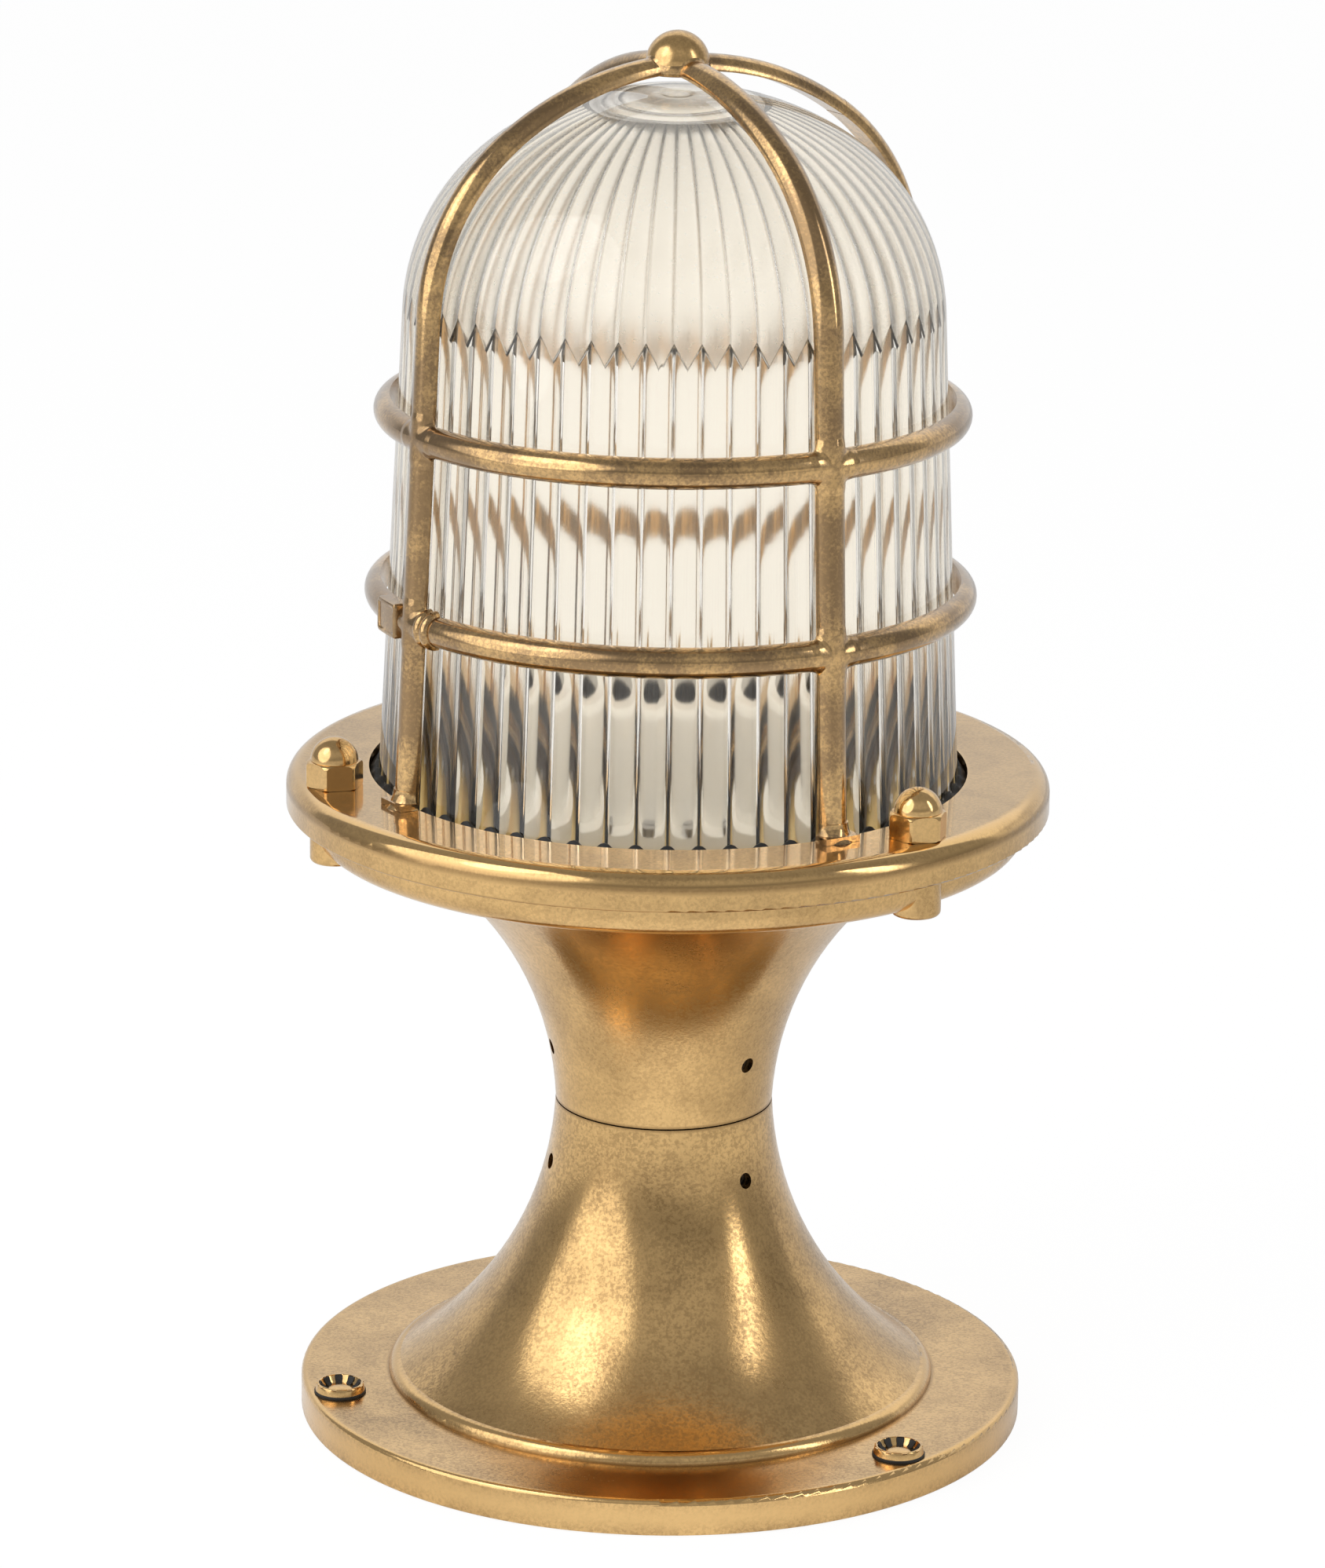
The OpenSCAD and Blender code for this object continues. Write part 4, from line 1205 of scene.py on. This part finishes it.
@dataclass
class HoopTag:
    """Bare plate with a raised border and a beaded ferrule, on the lower hoop on each side of a rib.

    Attributes:
        hoop_z: height of the hoop's middle.
        bar: radius of the hoop's rounded side.
        centre: how far its middle stands out from its flat side.
        plate_from: where the plate begins beside the rib's middle, as an angle in degrees.
        apart: where the ferrule begins on the other side.
        plate_span: the plate's length as an angle.
        plate_half: half the plate's height.
        proud: how far the plate stands over the hoop's crest.
        border: height of the plate's border.
        ferrule_span: the ferrule's length as an angle.
    """

    hoop_z: float = 169.06
    bar: float = 3.0
    centre: float = 0.1
    plate_from: float = 2.9
    apart: float = 3.4
    plate_span: float = 8.4
    plate_half: float = 3.4
    proud: float = 0.6
    border: float = 0.3
    ferrule_span: float = 4.0

    def _loops(self, mesh: bmesh.types.BMesh, rows: list[tuple[float, list[tuple[float, float]]]]) -> None:
        """Skins sections (out from the face, up) that stand at angles round the axis, and closes both ends."""
        face, turn = FACE_SHAPE.radius(self.hoop_z), math.radians(STACK.rib_angles[0])
        loops = []
        for degrees, section in rows:
            a = turn + math.radians(degrees)
            points = [Vector(((face + u) * math.cos(a), (face + u) * math.sin(a), self.hoop_z + v)) * MM
                      for u, v in section]
            loops.append([g for g in chain(mesh, points, True) if isinstance(g, bmesh.types.BMEdge)])
        for first, second in zip(loops, loops[1:]):
            bmesh.ops.bridge_loops(mesh, edges=first + second)
        for end in (loops[0], loops[-1]):
            bmesh.ops.contextual_create(mesh, geom=end)

    def _plate_section(self, half: float, sink: float, dish: float) -> list[tuple[float, float]]:
        """Section of the plate: half its height, how far it lies low, and how deep its face is."""
        top = self.centre + self.bar + self.proud - sink
        side = [(0.4, half), (top - 0.5, half), (top - 0.12, half - 0.12), (top, half - 0.4), (top, half - 0.75),
                (top - dish, half - 1.0), (top - dish, half * 0.4)]
        return side + [(u, -v) for u, v in reversed(side)]

    def build(self, finish: Finish) -> tuple[bpy.types.Object, bpy.types.Object]:
        """Makes both pieces."""
        plate = bmesh.new()
        end, border = -self.plate_from - self.plate_span, self.border
        steps = [(0.0, 1.1, 0.6, 0.0), (0.15, 0.8, 0.2, 0.0), (0.5, 0.35, 0.0, 0.0), (0.9, 0.0, 0.0, 0.0),
                 (1.2, 0.0, 0.0, border), (3.2, 0.0, 0.0, border), (5.2, 0.0, 0.0, border),
                 (7.3, 0.0, 0.0, border), (7.6, 0.0, 0.0, 0.0), (8.0, 0.0, 0.0, 0.0), (8.25, 0.2, 0.15, 0.0),
                 (8.4, 0.5, 0.6, 0.0)]
        self._loops(plate, [(end + at, self._plate_section(self.plate_half - narrow, sink, dish))
                            for at, narrow, sink, dish in steps])
        tidied(plate)
        ferrule = bmesh.new()
        rows = []
        for i in range(25):
            share = i / 24
            grow = 0.12 + 0.78 * abs(math.sin(share * FULL_TURN)) ** 0.5
            flat = math.degrees(math.acos(min(1.0, self.centre / (self.bar + grow))))
            rows.append((self.apart + self.ferrule_span * share,
                         arc(self.centre, 0.0, self.bar + grow, -(180 - flat), 180 - flat, 24)))
        self._loops(ferrule, rows)
        tidied(ferrule)
        return (piece("bare_hoop_plate", plate, finish, "guard", 40.0, ("hoop_plate",)),
                piece("beaded_ferrule", ferrule, finish, "guard", 40.0, ("hoop_ferrule",)))


@dataclass
class CrownWeb:
    """Cast web that runs from the ribs up to the ball.

    Attributes:
        foot_r: radius of the web's foot.
        neck_r: radius where it meets the ball.
        rise: height from the ribs' flat side to the ball.
    """

    foot_r: float = 10.5
    neck_r: float = 5.3
    rise: float = 3.6
    lobe: float = 2.4

    def build(self, finish: Finish) -> bpy.types.Object:
        """Makes the web."""
        mesh = bmesh.new()
        top = FACE_SHAPE.top
        rows = [(0.0, top + 0.3)]
        rows += [(self.foot_r * (1 - s) + self.neck_r * s, top + 0.35 + self.rise * s ** 1.6)
                 for s in (i / 10 for i in range(11))]
        turned(mesh, [*rows, (0.0, top + 0.35 + self.rise)], 96)
        for vert in mesh.verts:
            r, angle = math.hypot(vert.co.x, vert.co.y) / MM, math.atan2(vert.co.y, vert.co.x)
            if r < 0.01:
                continue
            across = abs(math.remainder(angle - math.radians(STACK.rib_angles[0]), FULL_TURN / 4))
            pull = min(1.0, across * r / 3.2)
            share = max(0.0, (r - self.neck_r) / (self.foot_r - self.neck_r))
            grow = 1 - 0.42 * pull * share
            vert.co.x *= grow
            vert.co.y *= grow
            vert.co.z -= share * (r * r / (2 * FACE_SHAPE.crown)) * MM * 0.9
        tidied(mesh)
        return piece("crown_web", mesh, finish, "guard", 40.0)


# Dressing of the CAD nodes

# Painted shade along the circles where the bead meets the plate and at the neck seam; the hollow inside is painted
# near black as shade.
CAST_BASE = AgedBrass(
    "cast_brass_base", tarnished=0.46, speckled=1.3, gloss_low=0.15, gloss_high=0.3, grain_depth=0.00004,
    rubbed=(Edge(STACK.plate_r - 0.5, STACK.plate_t - 0.3, 1.6),
            Edge(STACK.plate_r, STACK.plate_t / 2, 4.5), Edge(STACK.foot_r + 1.4, STACK.plate_t + 2.2, 1.6)),
    painted_dark_circles=(Edge(STACK.foot_r + STACK.foot_bead, STACK.plate_t, 1.1),
             Edge(STACK.neck_r, STACK.seam_z, 0.9)),
    hollow=Hollow(92.14, 68.0, 72.2))
# Painted shade at the neck seam and along the flange's top; the hollow inside is painted near black as shade.
CAST_HEAD = AgedBrass(
    "cast_brass_head", tarnished=0.36, speckled=1.0, gloss_low=0.16, gloss_high=0.3,
    rubbed=(Edge(STACK.flange_r - 1.5, STACK.flange_z + 1.2, 1.6),),
    painted_dark_circles=(Edge(STACK.neck_r, STACK.seam_z + 0.3, 0.9), Edge(STACK.flange_r, STACK.flange_top, 0.8)),
    hollow=Hollow(87.47, 62.0, 67.6, 119.4, 62.0))
# Painted shade at the ring's lower edge, and a painted dark reflection band round its side.
CAST_RING = AgedBrass(
    "cast_brass_ring", tarnished=0.36, speckled=1.0, gloss_low=0.05, gloss_high=0.14, grain_depth=0.000006,
    rubbed=(Edge(STACK.ring_r - 2.0, STACK.ring_top - 0.2, 1.6), Edge(STACK.ring_hole_r, STACK.ring_top, 0.9)),
    painted_dark_circles=(Edge(STACK.ring_r, STACK.ring_z, 0.8), Edge(STACK.ring_r, STACK.ring_top - 3.0, 1.8)))
GUARD = AgedBrass("guard_brass", bright=(0.76, 0.475, 0.18), tarnish_and_shade=(0.28, 0.165, 0.06), tarnished=0.85,
                  gloss_low=0.10, gloss_high=0.2, grain_depth=0.000014, lacquer=0.9)
BALL = AgedBrass("ball_brass", tarnished=0.6, gloss_low=0.16, gloss_high=0.28, grain_depth=0.00002)
TURNED = AgedBrass("turned_brass", tarnished=0.3, gloss_low=0.10, gloss_high=0.2, grain_depth=0.000008)


class NodeFinish(Enum):
    """Finish of each kind of CAD node that stays as it is."""

    BASE = (CAST_BASE, ("base_trumpet",))
    HEAD = (CAST_HEAD, ("head_trumpet",))
    RING = (CAST_RING, ("clamp_ring",))
    GUARD = (GUARD, ("guard_rib_1", "guard_rib_2", "guard_rib_3", "guard_rib_4", "upper_hoop", "lower_hoop"))
    BALL = (BALL, ("crown_ball",))
    TURNED = (TURNED, ("cap_nut_1", "cap_nut_2", "cap_nut_3", "flange_studs"))
    PIPE = (AgedBrass("pipe_brass", tarnished=0.25, gloss_low=0.2, gloss_high=0.32), ("coupling_pipe",))
    # Painted shade: both of the screw shell's colours are dark so that its inside looks shaded.
    SHELL = (AgedBrass("shell_brass_painted_shade", bright=(0.3, 0.22, 0.12), tarnish_and_shade=(0.09, 0.065, 0.04), tarnished=0.9,
                       lacquer=0.0), ("screw_shell",))
    CONTACT = (Coated("contact_brass", colour=(0.78, 0.6, 0.32), second=(0.62, 0.45, 0.22), metallic=1.0,
                      rough=0.3, texture=1200.0), ("centre_contact",))
    TRAY = (Coated("yellow_zinc_steel", colour=(0.66, 0.49, 0.2), second=(0.5, 0.34, 0.12), metallic=1.0,
                   rough=0.3, texture=1400.0), ("holder_tray",))
    GRUB = (Coated("blackened_steel", colour=(0.1, 0.1, 0.105), second=(0.05, 0.05, 0.055), metallic=1.0,
                   rough=0.42, texture=1400.0), ("lower_grub_screws", "upper_grub_screws"))
    STEEL = (Coated("zinc_steel", colour=(0.66, 0.66, 0.67), second=(0.5, 0.5, 0.52), metallic=1.0, rough=0.36,
                    texture=1400.0),
             ("tray_screws", "lampholder_screws", "terminal_screws", "earth_screw", "earth_nut"))
    RUBBER = (RUBBER, ("base_gasket", "seat_gasket", "ring_gasket", "cable_bush"))
    PORCELAIN = (Coated("glazed_porcelain", colour=(0.93, 0.92, 0.89), second=(0.87, 0.85, 0.8), mottled=0.3,
                        rough=0.22, texture=500.0, depth=0.00001, coat=0.6), ("lampholder_body",))
    BLOCK = (Coated("block_plastic", colour=(0.76, 0.73, 0.62), second=(0.66, 0.62, 0.5), rough=0.42),
             ("terminal_block",))
    LINE = (Coated("brown_lead", colour=(0.2, 0.09, 0.035), second=(0.28, 0.14, 0.06), rough=0.4),
            ("line_lead",))
    NEUTRAL = (Coated("blue_lead", colour=(0.05, 0.13, 0.42), second=(0.08, 0.19, 0.5), rough=0.4),
               ("neutral_lead",))
    EARTH = (Coated("green_lead", colour=(0.16, 0.36, 0.05), second=(0.62, 0.62, 0.06), mottled=0.9, rough=0.4,
                    texture=350.0), ("earth_lead",))


def dress_nodes(nodes: dict[str, bpy.types.Object]) -> None:
    """Gives every CAD node that stays its finish.

    Args:
        nodes: the frame's nodes by name.
    """
    for group in NodeFinish:
        finish, names = group.value
        for name in names:
            node = nodes[name]
            material = finish.material()
            if not node.material_slots:
                node.data.materials.append(material)
            for slot in node.material_slots:
                slot.material = material
            LOG.info("%s wears %s", name, finish.name)


# Studio

@dataclass
class Studio:
    """White floor, soft lamps and the world's light.

    Attributes:
        floor_r: radius of the floor in metres.
        shade: share of the floor's own shading that the camera sees.
        white: brightness of the floor and backdrop where the camera sees them.
        dim: brightness of the room in front of and beside the lantern.
        backdrop: brightness of the room behind it.
    """

    floor_r: float = 6.0
    shade: float = 0.1
    white: float = 1.05
    dim: float = 0.33
    backdrop: float = 1.0

    def _floor(self) -> None:
        """Makes the floor."""
        mesh = bmesh.new()
        bmesh.ops.create_circle(mesh, cap_ends=True, segments=96, radius=self.floor_r)
        bmesh.ops.translate(mesh, verts=mesh.verts, vec=(0, 0, -0.0003))
        data = bpy.data.meshes.new("studio_floor")
        mesh.to_mesh(data)
        mesh.free()
        floor = bpy.data.objects.new("studio_floor", data)
        bpy.context.scene.collection.objects.link(floor)
        material = bpy.data.materials.new("floor_white")
        material.use_nodes = True
        kit = NodeKit(material.node_tree)
        path = kit.add("ShaderNodeLightPath").outputs
        x, y, _ = kit.axes(kit.place())
        # Painted light in reflections: the floor is brighter just in front of the lantern and darker to its right;
        # the camera still sees it evenly white.
        near = (x * x + y * y).root().ramp(0.45, 0.12) * (0 - y - x.size() * 0.7).ramp(0.0, 0.08)
        mirrored = 0.42 + near * 0.5 - x.ramp(-0.05, 0.15) * 0.2
        seen = Value(kit, path["Is Camera Ray"]).highest(
            Value(kit, path["Is Glossy Ray"]) * mirrored).highest(Value(kit, path["Is Transmission Ray"]))
        matt = kit.add("ShaderNodeBsdfDiffuse", None, {"Color": (0.9, 0.9, 0.9)})
        bright = kit.add("ShaderNodeEmission", None, {"Color": (1.0, 1.0, 1.0), "Strength": self.white})
        both = kit.add("ShaderNodeMixShader", None, {
            0: seen * (1 - self.shade), 1: matt.outputs[0], 2: bright.outputs[0]})
        kit.add("ShaderNodeOutputMaterial", None, {"Surface": both.outputs[0]})
        data.materials.append(material)

    def _world(self) -> None:
        """Lights the world: white for the camera, pale behind the lantern and dim in front of it."""
        world = bpy.data.worlds.new("studio")
        bpy.context.scene.world = world
        world.use_nodes = True
        kit = NodeKit(world.node_tree)
        direction = kit.add("ShaderNodeTexCoord").outputs["Generated"]
        x, y, z = kit.axes(direction)
        behind = (y + x * 0.15).ramp(0.5, 0.57)
        front = (0 - y).ramp(0.3, 0.7) * (z.ramp(0.25, 0.5) * 0.15 + z.ramp(0.22, 0.05) * 0.35)
        high = z.ramp(0.97, 0.80)
        rise = 0.72 + z.ramp(0.3, 0.45) * 0.28
        level = self.dim + (self.backdrop * rise - self.dim) * behind * high + front
        path = kit.add("ShaderNodeLightPath").outputs
        seen = Value(kit, path["Is Camera Ray"]).highest(Value(kit, path["Is Transmission Ray"]))
        strength = level + (1 - level) * seen
        shown = kit.add("ShaderNodeBackground", None, {"Color": (1.0, 1.0, 1.0), "Strength": strength})
        kit.add("ShaderNodeOutputWorld", None, {"Surface": shown.outputs[0]})

    def _lamp(self, name: str, turn: float, rise: float, distance: float, size: tuple[float, float],
              radiance: float, colour: Colour = (1.0, 1.0, 1.0)) -> None:
        """Adds one soft lamp that faces the lantern.

        Args:
            name: the lamp's name.
            turn: degrees to the right of the camera's side.
            rise: degrees above the horizon.
            distance: metres from the lantern.
            size: width and height of its oval face in metres.
            radiance: brightness of its face.
            colour: its colour.
        """
        data = bpy.data.lights.new(name, "AREA")
        data.shape, data.size, data.size_y = "ELLIPSE", size[0], size[1]
        data.energy = radiance * math.pi * size[0] * size[1] * math.pi / 4
        data.color = colour
        lamp = bpy.data.objects.new(name, data)
        bpy.context.scene.collection.objects.link(lamp)
        a, e = math.radians(turn), math.radians(rise)
        away = Vector((math.sin(a) * math.cos(e), -math.cos(a) * math.cos(e), math.sin(e)))
        lamp.location = Vector((0, 0, 0.14)) + away * distance
        lamp.rotation_mode = "QUATERNION"
        lamp.rotation_quaternion = (-away).to_track_quat("-Z", "Y")
        lamp.visible_camera = False

    def build(self) -> None:
        """Makes the floor, the world and the lamps."""
        self._floor()
        self._world()
        self._lamp("left_softbox", -60.0, 28.0, 0.95, (1.15, 1.15), 1.35)
        self._lamp("right_strip", 67.0, 26.0, 1.0, (0.2, 0.8), 3.3)
        self._lamp("high_left", -60.0, 46.0, 1.0, (0.35, 0.6), 1.2)


@dataclass(frozen=True)
class PhotoCamera:
    """The photograph's camera.

    Attributes:
        aim: the point at the middle of the frame, in metres.
        distance: from the camera to that point.
        elevation: degrees above the horizon.
        roll: how far the lantern's top leans to the right, in degrees.
        focal: focal length in pixels of the frame.
        frame: width and height of the frame in pixels.
    """

    aim: tuple[float, float, float] = (-0.00108, 0.0, 0.129275)
    distance: float = 1.284277
    elevation: float = 16.038
    roll: float = 0.76
    focal: float = 8310.272
    frame: tuple[int, int] = (1687, 1997)

    def build(self) -> None:
        """Makes the camera and sets it as the scene's."""
        data = bpy.data.cameras.new("photo_camera")
        data.sensor_width = 36.0
        data.lens = self.focal * data.sensor_width / max(self.frame)
        data.clip_start, data.clip_end = 0.05, 50.0
        camera = bpy.data.objects.new("photo_camera", data)
        bpy.context.scene.collection.objects.link(camera)
        e = math.radians(self.elevation)
        back = Vector((0.0, -math.cos(e), math.sin(e)))
        camera.location = Vector(self.aim) + back * self.distance
        camera.rotation_mode = "QUATERNION"
        camera.rotation_quaternion = (-back).to_track_quat("-Z", "Y") @ Quaternion(
            (0, 0, 1), math.radians(self.roll))
        bpy.context.scene.camera = camera
        bpy.context.scene.view_settings.view_transform = "Standard"


def main() -> None:
    """Builds the lantern's looks in order."""
    logging.basicConfig(level=logging.INFO, format="%(message)s")
    PhotoCamera().build()
    Studio().build()
    dress_nodes(frame["nodes"])
    FlutedDome().build()
    GuardJoints(finish=GUARD).build()
    HoopTag().build(GUARD)
    CrownWeb().build(GUARD)
    RibFeet().build(GUARD)
    GasketLip().build()
    FixingScrews().build()


if __name__ == "__main__":
    main()
